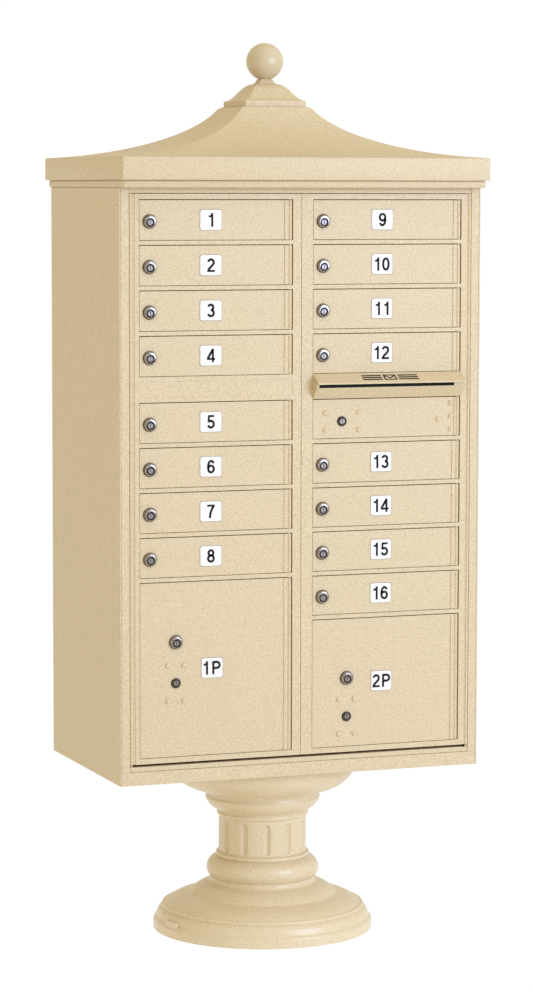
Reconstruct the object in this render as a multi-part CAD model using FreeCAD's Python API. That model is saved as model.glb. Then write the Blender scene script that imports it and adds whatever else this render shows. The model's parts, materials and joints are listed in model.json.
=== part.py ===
"""Cluster mailbox unit: a cabinet of small locked doors on a fluted pedestal, under a swept roof.

Millimetres, +Z up, origin on the ground at the pedestal's axis. The doors face -Y.
Doors stand closed and their lock cams stand in the released position.
"""
import FreeCAD, Part
import math
import os

os.makedirs("parts", exist_ok=True)
Vec = FreeCAD.Vector

# ---- driving dimensions ----
CABINET_WIDTH = 775.0
CABINET_DEPTH = 457.0
CABINET_BASE = 357.0        # underside of the cabinet above the ground
CABINET_TOP = 1544.7        # top of the walls, where the roof moulding starts
SHEET = 3.0                 # aluminium sheet and leaf thickness
ROW_PITCH = 89.5            # door rows
RAIL = 8.4                  # rail between two rows
OPENING_WIDTH = 326.0
PARCEL_ROWS_LEFT = 4        # height of each parcel opening, in rows
PARCEL_ROWS_RIGHT = 3
PARCEL_EXTRA = 3.7          # the parcel openings are this much taller than whole rows
BAND_ROW = 8                # rows below the band
BAND = 50.9                 # blank panel on the left, mail hood on the right

# ---- cabinet ----
HALF_W = CABINET_WIDTH / 2
HALF_D = CABINET_DEPTH / 2
FRONT = -HALF_D
SILL_TOP = CABINET_BASE + 27.0
STRIP_TOP = SILL_TOP + 10.2
HEADER_BOTTOM = CABINET_TOP - 9.0
FLANGE = 19.5               # front flange of a side wall
JAMB_BACK = FRONT + 23.5
SHELF_FRONT = FRONT + 38.5
SHELF_SHEET = 2.0
BACK_INSIDE = HALF_D - SHEET

# ---- master doors ----
DOOR_BOTTOM = STRIP_TOP + 5.1
FRAME_DEPTH = 20.0
FRAME_BACK = FRONT + FRAME_DEPTH
BOTTOM_RAIL = 11.0
TOP_RAIL = 11.0
OPENING_BOTTOM = DOOR_BOTTOM + BOTTOM_RAIL
OPENING_HEIGHT = ROW_PITCH - RAIL
LEFT_X0 = -346.5
RIGHT_X0 = 21.0
LEFT_DOOR = (-359.4, -5.5)
RIGHT_DOOR = (-3.5, 359.4)
PIVOT_X = 363.8             # vertical pivot line of each master door, left and right
PIVOT_Y = FRONT + 2.5
PIVOT_R = 2.0
PIVOT_BARREL_R = 3.3
RUNNING_GAP = 0.06          # radial clearance of a pin in its bore

# ---- compartment doors ----
EDGE_GAP = 1.0              # gap round a leaf
HINGE_INSET = 7.3           # hinge line from the opening's right edge
HINGE_Y = FRONT + 3.5
HINGE_ROD_R = 2.0
HINGE_BARREL_R = 4.0
PLATE_W, PLATE_H, PLATE_T, PLATE_CORNER = 46.0, 41.0, 1.0, 4.0
PLATE_INSET, PARCEL_PLATE_INSET = 150.0, 152.5     # plate centre from the opening's left edge

# ---- locks ----
PLUG_R = 6.0
PLUG_GAP = 0.05
LOCK_INSET = 22.0           # customer lock from the opening's left edge
LOCK_DROP = 5.0             # customer lock below the middle of its door
PARCEL_LOCK_INSET = 76.0
PLUG_OFFSET = 2.0           # the plug sits low in its round bezel
BEZEL_R, BEZEL_PROUD = 13.5, 6.0
CARRIER_BEZEL_R, CARRIER_PROUD = 9.5, 3.0
LOCK_BARREL_R, CARRIER_BARREL_R = 9.5, 8.5
LOCK_BACK = FRONT + 19.0
CAM_FRONT = FRONT + 21.0
CAM_SHEET = 3.0
CAM_WIDTH = 12.0
CAM_REACH = 8.0             # how far a turned cam passes behind the frame
RIVET_R, RIVET_PROUD = 4.6, 1.6
LOCK_RIVETS = (17.0, 35.5)  # rivets round a parcel door's carrier lock, from its axis
OUTGOING_RIVETS = (36.0, 17.0)
HINGE_RIVET_INSET, HINGE_RIVET_PITCH = 21.5, 26.5
STAY_RIVET = (49.5, 6.0)    # one rivet left of those and a little below the middle

# ---- roof ----
ROOF_CENTRE_Y = -5.5
MOULDING_HALF = (388.5, 249.0)
MOULDING_HEIGHT = 15.2
MOULDING_TOP = CABINET_TOP + MOULDING_HEIGHT
MOULDING_WIDTH = 34.0
FASCIA_HALF = (393.5, 260.0)
FASCIA_HEIGHT = 46.0
SHOULDER_HALF = (76.0, 72.0)
SHOULDER_Z = 1708.0
SHOULDER_STEP = 2.0
ROOF_SHEET = 3.0
PLINTH_HALF, PLINTH_HEIGHT = 66.0, 12.5
BELL_HALF, BELL_HEIGHT = 63.0, 34.5
NECK_HALF_LOW, NECK_HALF_HIGH, NECK_HEIGHT = 18.5, 12.5, 10.0
BALL_R = 38.0

# ---- pedestal ----
BASE_PLATE, BASE_PLATE_T = 280.0, 12.7
ANCHOR_HALF, ANCHOR_HOLE_R = 107.95, 7.9
POST, POST_WALL = 101.6, 4.8
TOP_PLATE, TOP_PLATE_T = 254.0, 9.5
BOLT_HALF, BOLT_R, BOLT_HOLE_R = 101.6, 6.0, 6.5
BOLT_HEAD_FLATS, BOLT_HEAD_T, NUT_T = 19.0, 8.0, 10.0
COLUMN_R = 91.5
FLUTES = 12
FLUTE_CUTTER_R, FLUTE_DEPTH = 8.0, 4.0
FLUTE_LOW, FLUTE_HIGH = 164.0, 230.0

# ---- master latch ----
LATCH_X = (1.0, 11.0)
LATCH_Z = (520.0, 1420.0)
LATCH_SHEET = 4.0
LATCH_TRAVEL = 15.0
LATCH_HOOKS = (600.0, 950.0, 1300.0)
LATCH_GUIDES = (540.0, 780.0, 1180.0)


# ---------------------------------------------------------------- helpers
def box(x0, x1, y0, y1, z0, z1):
    return Part.makeBox(x1 - x0, y1 - y0, z1 - z0, Vec(x0, y0, z0))


def rod_y(x, z, radius, y0, y1):
    return Part.makeCylinder(radius, y1 - y0, Vec(x, y0, z), Vec(0, 1, 0))


def rod_z(x, y, radius, z0, z1):
    return Part.makeCylinder(radius, z1 - z0, Vec(x, y, z0), Vec(0, 0, 1))


def prism_x(outline, x0, x1):
    """A (y, z) outline pushed from x0 to x1."""
    corners = [Vec(x0, y, z) for y, z in outline]
    face = Part.Face(Part.makePolygon(corners + corners[:1]))
    return face.extrude(Vec(x1 - x0, 0, 0))


def hexagon_z(x, y, flats, z0, z1):
    radius = flats / math.sqrt(3)
    angles = [math.radians(60 * i) for i in range(6)]
    corners = [Vec(x + radius * math.cos(a), y + radius * math.sin(a), z0) for a in angles]
    return Part.Face(Part.makePolygon(corners + corners[:1])).extrude(Vec(0, 0, z1 - z0))


def four_corners(half):
    return [(sx * half, sy * half) for sx in (-1, 1) for sy in (-1, 1)]


def export(node, *solids):
    Part.makeCompound(list(solids)).exportStep(f"parts/{node}.step")


# ---------------------------------------------------------------- layout of the openings
def row_bottom(index):
    """Bottom of the opening that is index rows above the lowest one."""
    z = OPENING_BOTTOM + index * ROW_PITCH
    if index > 0:
        z += PARCEL_EXTRA
    if index >= BAND_ROW:
        z += BAND - RAIL
    return z


def opening(column_x0, index, rows=1):
    """(x0, x1, z0, z1) of an opening that is so many rows high."""
    z0 = row_bottom(index)
    height = rows * ROW_PITCH - RAIL
    if index == 0:
        height += PARCEL_EXTRA
    return column_x0, column_x0 + OPENING_WIDTH, z0, z0 + height


BAND_BOTTOM = row_bottom(BAND_ROW - 1) + OPENING_HEIGHT
BAND_TOP = row_bottom(BAND_ROW)
OPENING_TOP = row_bottom(11) + OPENING_HEIGHT
DOOR_TOP = OPENING_TOP + TOP_RAIL

CUSTOMER = {}
for number in range(1, 5):
    CUSTOMER[number] = opening(LEFT_X0, 12 - number)
    CUSTOMER[number + 4] = opening(LEFT_X0, 8 - number)
    CUSTOMER[number + 8] = opening(RIGHT_X0, 12 - number)
    CUSTOMER[number + 12] = opening(RIGHT_X0, 7 - number)
PARCEL = {
    "1p": opening(LEFT_X0, 0, PARCEL_ROWS_LEFT),
    "2p": opening(RIGHT_X0, 0, PARCEL_ROWS_RIGHT),
}
OUTGOING = opening(RIGHT_X0, BAND_ROW - 1)


def middle(hole):
    return (hole[2] + hole[3]) / 2


# Lock places (x, z), the way the released cam points, and its length.
CUSTOMER_LOCKS = {n: (h[0] + LOCK_INSET, middle(h) - LOCK_DROP) for n, h in CUSTOMER.items()}
PARCEL_LOCKS = {
    "1p": (LEFT_X0 + PARCEL_LOCK_INSET, middle(PARCEL["1p"]) + 53.0),
    "2p": (RIGHT_X0 + PARCEL_LOCK_INSET, middle(PARCEL["2p"]) + 7.0),
}
CARRIER_LOCKS = {
    "1p": (LEFT_X0 + PARCEL_LOCK_INSET, middle(PARCEL["1p"]) - 27.5),
    "2p": (RIGHT_X0 + PARCEL_LOCK_INSET, middle(PARCEL["2p"]) - 70.0),
    "outgoing": (RIGHT_X0 + 63.5, middle(OUTGOING) - 5.5),
}
LONG_CAM = PARCEL_LOCK_INSET + CAM_REACH


# ---------------------------------------------------------------- pedestal
def pedestal_post():
    """Welded post: anchor plate, square tube and the plate that the cabinet is bolted to."""
    half = BASE_PLATE / 2
    plate = box(-half, half, -half, half, 0, BASE_PLATE_T)
    for x, y in four_corners(ANCHOR_HALF):
        plate = plate.cut(rod_z(x, y, ANCHOR_HOLE_R, -1, BASE_PLATE_T + 1))
    top_low = CABINET_BASE - TOP_PLATE_T
    outer, inner = POST / 2, POST / 2 - POST_WALL
    tube = box(-outer, outer, -outer, outer, BASE_PLATE_T, top_low)
    tube = tube.cut(box(-inner, inner, -inner, inner, 0, CABINET_BASE))
    half = TOP_PLATE / 2
    top = box(-half, half, -half, half, top_low, CABINET_BASE)
    for x, y in four_corners(BOLT_HALF):
        top = top.cut(rod_z(x, y, BOLT_HOLE_R, top_low - 1, CABINET_BASE + 1))
    return plate, tube, top


def cabinet_bolts():
    """Four bolts up through the top plate and the cabinet floor, with their nuts."""
    low = CABINET_BASE - TOP_PLATE_T
    nut_low = CABINET_BASE + SHEET
    pieces = []
    for x, y in four_corners(BOLT_HALF):
        head = hexagon_z(x, y, BOLT_HEAD_FLATS, low - BOLT_HEAD_T, low)
        shank = rod_z(x, y, BOLT_R, low, nut_low + NUT_T + 4)
        nut = hexagon_z(x, y, BOLT_HEAD_FLATS, nut_low, nut_low + NUT_T)
        pieces += [head.fuse(shank), nut.cut(rod_z(x, y, BOLT_R, nut_low - 1, nut_low + NUT_T + 1))]
    return pieces


def cover_outline():
    """Edges of the turned cover's section, from the ground up the outside and down the inside."""
    def line(a, b):
        return Part.LineSegment(Vec(a[0], 0, a[1]), Vec(b[0], 0, b[1])).toShape()

    def arc(a, m, b):
        return Part.Arc(Vec(a[0], 0, a[1]), Vec(m[0], 0, m[1]), Vec(b[0], 0, b[1])).toShape()

    top = CABINET_BASE
    outside = [
        line((229.5, 0), (229.5, 14)),
        arc((229.5, 14), (228.3, 19.5), (224.5, 23)),
        line((224.5, 23), (222, 27)),
        arc((222, 27), (219.2, 36.8), (211, 44.5)),
        arc((211, 44.5), (211, 49.5), (205.5, 51)),
        arc((205.5, 51), (191, 60.8), (171, 68)),
        line((171, 68), (155, 72.5)),
        arc((155, 72.5), (137, 87), (114.5, 95.5)),
        arc((114.5, 95.5), (110, 100), (109, 107)),
        arc((109, 107), (117.5, 125), (107.5, 146)),
        line((107.5, 146), (96, 151)),
        arc((96, 151), (98.5, 155.5), (96, 160)),
        line((96, 160), (COLUMN_R, 161)),
        line((COLUMN_R, 161), (COLUMN_R, 236)),
        line((COLUMN_R, 236), (94, 238)),
        arc((94, 238), (96, 242.5), (94, 247)),
        line((94, 247), (95.5, 250)),
        arc((95.5, 250), (112.5, 262), (120.5, 277)),
        arc((120.5, 277), (118.2, 285), (120.5, 293)),
        line((120.5, 293), (127.5, 296)),
        arc((127.5, 296), (171, 309), (190.5, 332)),
        arc((190.5, 332), (193.4, 340), (194, 347)),
        line((194, 347), (196, 348)),
        line((196, 348), (196, top)),
    ]
    inside = [
        (196, top), (189, top), (187, 342), (178, 324), (156, 310), (118, 301), (112, 292), (112, 279),
        (106, 270), (84, 260), (84, 152), (102, 138), (102, 104), (110, 92), (130, 81), (150, 65),
        (170, 60), (186, 52.5), (201, 42), (213, 27), (222, 14), (222, 0), (229.5, 0),
    ]
    return outside + [line(a, b) for a, b in zip(inside, inside[1:])]


def pedestal_cover(front):
    """One of the two half shells that close round the post; they meet in a seam at each side."""
    section = Part.Face(Part.Wire(cover_outline()))
    shell = section.revolve(Vec(0, 0, 0), Vec(0, 0, 1), -180 if front else 180)
    centre = COLUMN_R + FLUTE_CUTTER_R - FLUTE_DEPTH
    low, high = FLUTE_LOW + FLUTE_CUTTER_R, FLUTE_HIGH - FLUTE_CUTTER_R
    for i in range(FLUTES // 2):
        angle = math.radians(15 + 360 / FLUTES * i) * (-1 if front else 1)
        x, y = centre * math.cos(angle), centre * math.sin(angle)
        cutter = rod_z(x, y, FLUTE_CUTTER_R, low, high)
        for z in (low, high):
            cutter = cutter.fuse(Part.makeSphere(FLUTE_CUTTER_R, Vec(x, y, z)))
        shell = shell.cut(cutter)
    if front:
        shell = shell.fuse(seam_keeper())
    return shell.removeSplitter()


def seam_keeper():
    """Small raised keeper by the left seam, near the foot of the front shell."""
    keeper = box(-229, -216, -15, 15, 16, 32)
    keeper.rotate(Vec(0, 0, 0), Vec(0, 0, 1), 13)
    return keeper


# ---------------------------------------------------------------- cabinet
def side_wall(side):
    """Side sheet with its front flange and the jamb folded back from it; side is -1 or 1."""
    def wall(x0, x1, y0, y1, z0, z1):
        a, b = sorted((side * x0, side * x1))
        return box(a, b, y0, y1, z0, z1)

    inside = HALF_W - SHEET
    flange_edge = HALF_W - FLANGE
    return (
        wall(inside, HALF_W, FRONT, HALF_D, CABINET_BASE, CABINET_TOP),
        wall(flange_edge, inside, FRONT, FRONT + SHEET, SILL_TOP, CABINET_TOP),
        wall(flange_edge, flange_edge + SHEET, FRONT + SHEET, JAMB_BACK, SILL_TOP, CABINET_TOP - SHEET),
    )


def cabinet_floor():
    inside = HALF_W - SHEET
    floor = box(-inside, inside, FRONT + SHEET, BACK_INSIDE, CABINET_BASE, CABINET_BASE + SHEET)
    for x, y in four_corners(BOLT_HALF):
        floor = floor.cut(rod_z(x, y, BOLT_HOLE_R, CABINET_BASE - 1, CABINET_BASE + SHEET + 1))
    return floor


def front_frame():
    """Sill under the doors, the strip above it and the header over the doors."""
    inside = HALF_W - SHEET
    gap = HALF_W - FLANGE
    return (
        box(-inside, inside, FRONT, FRONT + SHEET, CABINET_BASE, SILL_TOP),
        box(-gap, gap, FRONT + 1, FRAME_BACK, SILL_TOP, STRIP_TOP),
        box(-gap, gap, FRONT + 1, FRAME_BACK, HEADER_BOTTOM, CABINET_TOP - SHEET),
    )


def centre_divider():
    """Upright sheet between the two columns, with the keepers that the master latch hooks on."""
    half = SHEET / 2
    pieces = [box(-half, half, SHELF_FRONT, BACK_INSIDE, CABINET_BASE + SHEET, CABINET_TOP - SHEET)]
    for z in LATCH_HOOKS:
        low, high = z + 28, z + 47
        pieces.append(box(-half, 0.5, SHELF_FRONT - 6.5, SHELF_FRONT, low, high))
        pieces.append(box(-half, LATCH_X[1] + 2, SHELF_FRONT - 10, SHELF_FRONT - 6.5, low, high))
    return pieces


def shelf_heights(right):
    """Middle of the rail at each shelf."""
    if right:
        rows = [PARCEL_ROWS_RIGHT, 4, 5, 6, 7, 8, 9, 10, 11]
    else:
        rows = [PARCEL_ROWS_LEFT, 5, 6, 7, 8, 9, 10, 11]
    heights = [row_bottom(row) - RAIL / 2 for row in rows]
    return heights if right else heights + [BAND_BOTTOM + RAIL / 2]


def shelves():
    inside, half = HALF_W - SHEET, SHEET / 2
    pieces = []
    for z in shelf_heights(False):
        pieces.append(box(-inside, -half, SHELF_FRONT, BACK_INSIDE, z - SHELF_SHEET / 2, z + SHELF_SHEET / 2))
    for z in shelf_heights(True):
        pieces.append(box(half, inside, SHELF_FRONT, BACK_INSIDE, z - SHELF_SHEET / 2, z + SHELF_SHEET / 2))
    return pieces


# ---------------------------------------------------------------- roof
def roof_curve(start, end):
    """Concave sweep from a shoulder point down to an eave point, nearly level at the eave."""
    (run0, z0), (run1, z1) = start, end
    run, drop = run1 - run0, z1 - z0
    steep = (run0 + 0.12 * run, z0 + 0.5 * drop)
    shallow = (run0 + 0.5 * run, z0 + 0.92 * drop)
    return [(run0, z0), steep, shallow, (run1, z1)]


def swept_block(half_eave, half_shoulder, z_low, z_eave, z_shoulder, along_x):
    """A block with the roof's section across one axis, long enough to cut the other."""
    def point(run, z):
        return Vec(run, 0, z) if along_x else Vec(0, run, z)

    def line(a, b):
        return Part.LineSegment(point(*a), point(*b)).toShape()

    poles = roof_curve((half_shoulder, z_shoulder), (half_eave, z_eave))
    edges = []
    for sign in (1, -1):
        curve = Part.BezierCurve()
        curve.setPoles([point(sign * run, z) for run, z in poles])
        edges.append(curve.toShape())
    edges += [
        line((half_shoulder, z_shoulder), (-half_shoulder, z_shoulder)),
        line((half_eave, z_eave), (half_eave, z_low)),
        line((half_eave, z_low), (-half_eave, z_low)),
        line((-half_eave, z_low), (-half_eave, z_eave)),
    ]
    face = Part.Face(Part.Wire(Part.__sortEdges__(edges)))
    reach = FASCIA_HALF[0] + 50
    push = Vec(0, 2 * reach, 0) if along_x else Vec(2 * reach, 0, 0)
    block = face.extrude(push)
    block.translate(push * -0.5)
    return block


def roof_solid(inset, z_low):
    eave = MOULDING_TOP + FASCIA_HEIGHT - inset
    shoulder = SHOULDER_Z - inset
    across_x = swept_block(FASCIA_HALF[0] - inset, SHOULDER_HALF[0] - inset, z_low, eave, shoulder, True)
    across_y = swept_block(FASCIA_HALF[1] - inset, SHOULDER_HALF[1] - inset, z_low, eave, shoulder, False)
    return across_x.common(across_y)


def roof_cap():
    """Hollow pressed cap: upright fascia, four concave slopes and a flat shoulder."""
    cap = roof_solid(0, MOULDING_TOP).cut(roof_solid(ROOF_SHEET, MOULDING_TOP - 1))
    step_x, step_y = SHOULDER_HALF[0] - 4, SHOULDER_HALF[1] - 4
    step = box(-step_x, step_x, -step_y, step_y, SHOULDER_Z, SHOULDER_Z + SHOULDER_STEP)
    cap = cap.fuse(step).removeSplitter()
    cap.translate(Vec(0, ROOF_CENTRE_Y, 0))
    return cap


def roof_moulding():
    """Ring of moulding that carries the cap and overhangs the walls."""
    x, y = MOULDING_HALF
    mid, width = ROOF_CENTRE_Y, MOULDING_WIDTH
    return (
        box(-x, x, mid - y, mid - y + width, CABINET_TOP, MOULDING_TOP),
        box(-x, x, mid + y - width, mid + y, CABINET_TOP, MOULDING_TOP),
        box(-x, -x + width, mid - y + width, mid + y - width, CABINET_TOP, MOULDING_TOP),
        box(x - width, x, mid - y + width, mid + y - width, CABINET_TOP, MOULDING_TOP),
    )


def bell():
    """Square bell: steep ogee sides, common of two equal sections."""
    def block(along_x):
        def point(run, z):
            return Vec(run, 0, z) if along_x else Vec(0, run, z)

        low = SHOULDER_Z + SHOULDER_STEP + PLINTH_HEIGHT
        high = low + BELL_HEIGHT
        edges = []
        for sign in (1, -1):
            curve = Part.BezierCurve()
            poles = [(BELL_HALF, low), (BELL_HALF - 16, low + 4), (BELL_HALF - 25, high)]
            poles.append((NECK_HALF_LOW, high))
            curve.setPoles([point(sign * run, z) for run, z in poles])
            edges.append(curve.toShape())
        edges.append(Part.LineSegment(point(-BELL_HALF, low), point(BELL_HALF, low)).toShape())
        edges.append(Part.LineSegment(point(-NECK_HALF_LOW, high), point(NECK_HALF_LOW, high)).toShape())
        face = Part.Face(Part.Wire(Part.__sortEdges__(edges)))
        push = Vec(0, 200, 0) if along_x else Vec(200, 0, 0)
        solid = face.extrude(push)
        solid.translate(push * -0.5)
        return solid

    return block(True).common(block(False))


def finial():
    """Plinth, bell, square neck and ball on the roof's shoulder."""
    low = SHOULDER_Z + SHOULDER_STEP
    plinth = box(-PLINTH_HALF, PLINTH_HALF, -PLINTH_HALF, PLINTH_HALF, low, low + PLINTH_HEIGHT)
    neck_low = low + PLINTH_HEIGHT + BELL_HEIGHT
    neck_high = neck_low + NECK_HEIGHT
    a, b = NECK_HALF_LOW, NECK_HALF_HIGH
    rings = []
    for half, z in ((a, neck_low), (b, neck_high)):
        corners = [Vec(-half, -half, z), Vec(half, -half, z), Vec(half, half, z), Vec(-half, half, z)]
        rings.append(Part.makePolygon(corners + corners[:1]))
    neck = Part.makeLoft(rings, True, True)
    ball = Part.makeSphere(BALL_R, Vec(0, 0, neck_high + BALL_R - 2))
    pieces = [plinth, bell(), neck.cut(ball), ball]
    for piece in pieces:
        piece.translate(Vec(0, ROOF_CENTRE_Y, 0))
    return pieces


# ---------------------------------------------------------------- master doors
def frame_rails(column_x0, spans):
    """Rails of a master door; spans are their (z0, z1)."""
    x1 = column_x0 + OPENING_WIDTH
    rod = rod_z(x1 - HINGE_INSET, HINGE_Y, HINGE_ROD_R, DOOR_BOTTOM + 2, DOOR_TOP - 2)
    rails = [box(column_x0, x1, FRONT, FRAME_BACK, z0, z1).cut(rod) for z0, z1 in spans]
    return rails + [rod]


def rail_spans(right):
    rows = [PARCEL_ROWS_RIGHT if right else PARCEL_ROWS_LEFT] + list(range(5 if not right else 4, 8))
    spans = [(DOOR_BOTTOM, OPENING_BOTTOM), (OPENING_TOP, DOOR_TOP)]
    spans += [(row_bottom(row) - RAIL, row_bottom(row)) for row in rows + [9, 10, 11]]
    spans += [(BAND_BOTTOM, BAND_BOTTOM + RAIL), (BAND_TOP - RAIL, BAND_TOP)]
    return spans


def pivot_barrel(side, stile_edge):
    """Rolled barrel along the whole outer edge of a master door, on the pivot line."""
    x = side * PIVOT_X
    barrel = rod_z(x, PIVOT_Y, PIVOT_BARREL_R, DOOR_BOTTOM, DOOR_TOP)
    a, b = sorted((x, stile_edge))
    barrel = barrel.fuse(box(a, b, PIVOT_Y - 1, PIVOT_Y + 2, DOOR_BOTTOM, DOOR_TOP))
    bore = rod_z(x, PIVOT_Y, PIVOT_R + RUNNING_GAP, DOOR_BOTTOM - 1, DOOR_TOP + 1)
    return barrel.cut(bore).removeSplitter()


def left_master_door():
    x0, x1 = LEFT_DOOR
    opening_end = LEFT_X0 + OPENING_WIDTH
    rails = frame_rails(LEFT_X0, rail_spans(False))
    blank = box(LEFT_X0, opening_end, FRONT, FRONT + SHEET, BAND_BOTTOM + RAIL, BAND_TOP - RAIL)
    return [
        box(x0, LEFT_X0, FRONT, FRAME_BACK, DOOR_BOTTOM, DOOR_TOP),
        box(opening_end, x1, FRONT, FRAME_BACK, DOOR_BOTTOM, DOOR_TOP),
        blank.cut(rails[-1]),
        *rails,
        pivot_barrel(-1, x0),
    ]


def latch_guide(z):
    """Bracket behind the centre stile that the latch bar slides in."""
    x0, x1 = LATCH_X
    back = FRAME_BACK + LATCH_SHEET
    bracket = box(x0 - 3, x1 + 2, FRAME_BACK, back + 2.5, z, z + 14)
    return bracket.cut(box(x0 - 0.2, x1 + 0.2, FRAME_BACK - 1, back + 0.2, z - 1, z + 15))


def right_master_door():
    x0, x1 = RIGHT_DOOR
    opening_end = RIGHT_X0 + OPENING_WIDTH
    return [
        box(x0, RIGHT_X0, FRONT, FRAME_BACK, DOOR_BOTTOM, DOOR_TOP),
        box(opening_end, x1, FRONT, FRAME_BACK, DOOR_BOTTOM, DOOR_TOP),
        *frame_rails(RIGHT_X0, rail_spans(True)),
        pivot_barrel(1, x1),
        *[latch_guide(z) for z in LATCH_GUIDES],
    ]


def master_pivots():
    """Pins on the strip and the header that the master doors turn on."""
    pins = []
    for side in (-1, 1):
        x = side * PIVOT_X
        pins.append(rod_z(x, PIVOT_Y, PIVOT_R, STRIP_TOP, DOOR_BOTTOM + 22))
        pins.append(rod_z(x, PIVOT_Y, PIVOT_R, DOOR_TOP - 22, HEADER_BOTTOM))
    return pins


def master_latch():
    """Bar behind the right master door; its hooks rise behind the keepers on the divider."""
    x0, x1 = LATCH_X
    pieces = [box(x0, x1, FRAME_BACK, FRAME_BACK + LATCH_SHEET, *LATCH_Z)]
    finger = SHELF_FRONT - 6.0
    for z in LATCH_HOOKS:
        pieces.append(box(x0, x1, FRAME_BACK + LATCH_SHEET, finger + 3, z, z + 12))
        pieces.append(box(x0, x1, finger, finger + 3, z + 12, z + 24))
    return pieces


def outgoing_hood():
    """Sloped hood over the mail slot, its lower lip, cheeks and slot ends."""
    x0, x1 = RIGHT_X0, RIGHT_X0 + OPENING_WIDTH
    lip = FRONT - 29.5
    lip_z = BAND_TOP - 17.5
    slot_z = lip_z - 8.5
    slot_y = lip + 8
    top = [(FRONT, BAND_TOP), (lip, lip_z), (lip, lip_z - 2.5), (FRONT, BAND_TOP - 3.4)]
    lower = [(FRONT, BAND_BOTTOM), (slot_y, slot_z), (slot_y + 2, slot_z), (FRONT, BAND_BOTTOM + 3.4)]
    cheek = [(FRONT, BAND_TOP - 3.4), (slot_y, slot_z + 7), (slot_y, slot_z), (slot_y + 2, slot_z),
             (FRONT, BAND_BOTTOM + 3.4)]
    slot_end = [(slot_y, slot_z), (slot_y, slot_z + 7), (slot_y + 3, slot_z + 8), (slot_y + 3, slot_z)]
    return (
        prism_x(top, x0, x1),
        prism_x(lower, x0, x1),
        prism_x(cheek, x0, x0 + 2.5),
        prism_x(cheek, x1 - 2.5, x1),
        prism_x(slot_end, x0 + 2.5, x0 + 7.5),
        prism_x(slot_end, x1 - 24.5, x1 - 2.5),
    )


# ---------------------------------------------------------------- compartment doors
def leaf(hole, lock_holes):
    """Door leaf with its hinge barrel, bored for its locks."""
    x0, x1, z0, z1 = hole
    hinge_x = x1 - HINGE_INSET
    z0, z1 = z0 + EDGE_GAP, z1 - EDGE_GAP
    solid = box(x0 + EDGE_GAP, hinge_x, FRONT, FRONT + SHEET, z0, z1)
    solid = solid.fuse(rod_z(hinge_x, HINGE_Y, HINGE_BARREL_R, z0, z1))
    solid = solid.cut(rod_z(hinge_x, HINGE_Y, HINGE_ROD_R + RUNNING_GAP, z0 - 1, z1 + 1))
    for x, z, radius in lock_holes:
        solid = solid.cut(rod_y(x, z, radius + 0.1, FRONT - 1, FRONT + SHEET + 1))
    return solid.removeSplitter()


def number_plate(x, z):
    """Thin plate with rounded corners on the face of a leaf."""
    w, h = PLATE_W / 2, PLATE_H / 2
    plate = box(x - w, x + w, FRONT - PLATE_T, FRONT, z - h, z + h)
    upright = [e for e in plate.Edges if abs(e.Vertexes[0].Y - e.Vertexes[1].Y) > PLATE_T / 2]
    return plate.makeFillet(PLATE_CORNER, upright)


def lock_body(x, z, bezel_r, proud, barrel_r, offset):
    """Fixed part of a lock: bezel, barrel through the leaf, and its nut behind."""
    bezel = rod_y(x, z + offset, bezel_r, FRONT - proud, FRONT)
    rim = [e for e in bezel.Edges if e.Closed and abs(e.CenterOfMass.y - (FRONT - proud)) < 0.01]
    bezel = bezel.makeFillet(proud * 0.45, rim)
    barrel = rod_y(x, z + offset, barrel_r, FRONT, LOCK_BACK)
    bore = rod_y(x, z, PLUG_R + PLUG_GAP, FRONT - proud - 1, LOCK_BACK + 1)
    nut_low, nut_high = FRONT + SHEET, FRONT + SHEET + 5
    nut = rod_y(x, z + offset, barrel_r + 3.5, nut_low, nut_high)
    nut = nut.cut(rod_y(x, z + offset, barrel_r, nut_low - 1, nut_high + 1))
    return bezel.fuse(barrel).cut(bore).removeSplitter(), nut


def rivets(places):
    forward = Vec(0, -1, 0)
    return [Part.makeCone(RIVET_R, RIVET_R * 0.6, RIVET_PROUD, Vec(x, FRONT, z), forward) for x, z in places]


def customer_lock_body(x, z):
    return lock_body(x, z, BEZEL_R, BEZEL_PROUD, LOCK_BARREL_R, PLUG_OFFSET)


def carrier_lock_body(x, z):
    return lock_body(x, z, CARRIER_BEZEL_R, CARRIER_PROUD, CARRIER_BARREL_R, 0)


def customer_door(number):
    hole = CUSTOMER[number]
    x, z = CUSTOMER_LOCKS[number]
    face = leaf(hole, [(x, z + PLUG_OFFSET, LOCK_BARREL_R)])
    return [face, *customer_lock_body(x, z), number_plate(hole[0] + PLATE_INSET, middle(hole))]


def parcel_door(name):
    hole = PARCEL[name]
    x, z = PARCEL_LOCKS[name]
    cx, cz = CARRIER_LOCKS[name]
    face = leaf(hole, [(x, z + PLUG_OFFSET, LOCK_BARREL_R), (cx, cz, CARRIER_BARREL_R)])
    dx, dz = LOCK_RIVETS
    around = [(cx + sx * dx, cz + sz * dz) for sx in (-1, 1) for sz in (-1, 1)]
    plate = number_plate(hole[0] + PARCEL_PLATE_INSET, middle(hole))
    return [face, *customer_lock_body(x, z), *carrier_lock_body(cx, cz), plate, *rivets(around)]


def outgoing_door():
    """Door of the outgoing mail compartment, with rivets round its lock and along its hinge."""
    cx, cz = CARRIER_LOCKS["outgoing"]
    face = leaf(OUTGOING, [(cx, cz, CARRIER_BARREL_R)])
    dx, dz = OUTGOING_RIVETS
    around = [(cx + sx * dx, cz + sz * dz) for sx in (-1, 1) for sz in (-1, 1)]
    edge, level = OUTGOING[1], middle(OUTGOING)
    hinge = [(edge - HINGE_RIVET_INSET, level + step * HINGE_RIVET_PITCH) for step in (-1, 0, 1)]
    stay = [(edge - STAY_RIVET[0], level - STAY_RIVET[1])]
    return [face, *carrier_lock_body(cx, cz), *rivets(around + hinge + stay)]


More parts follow.
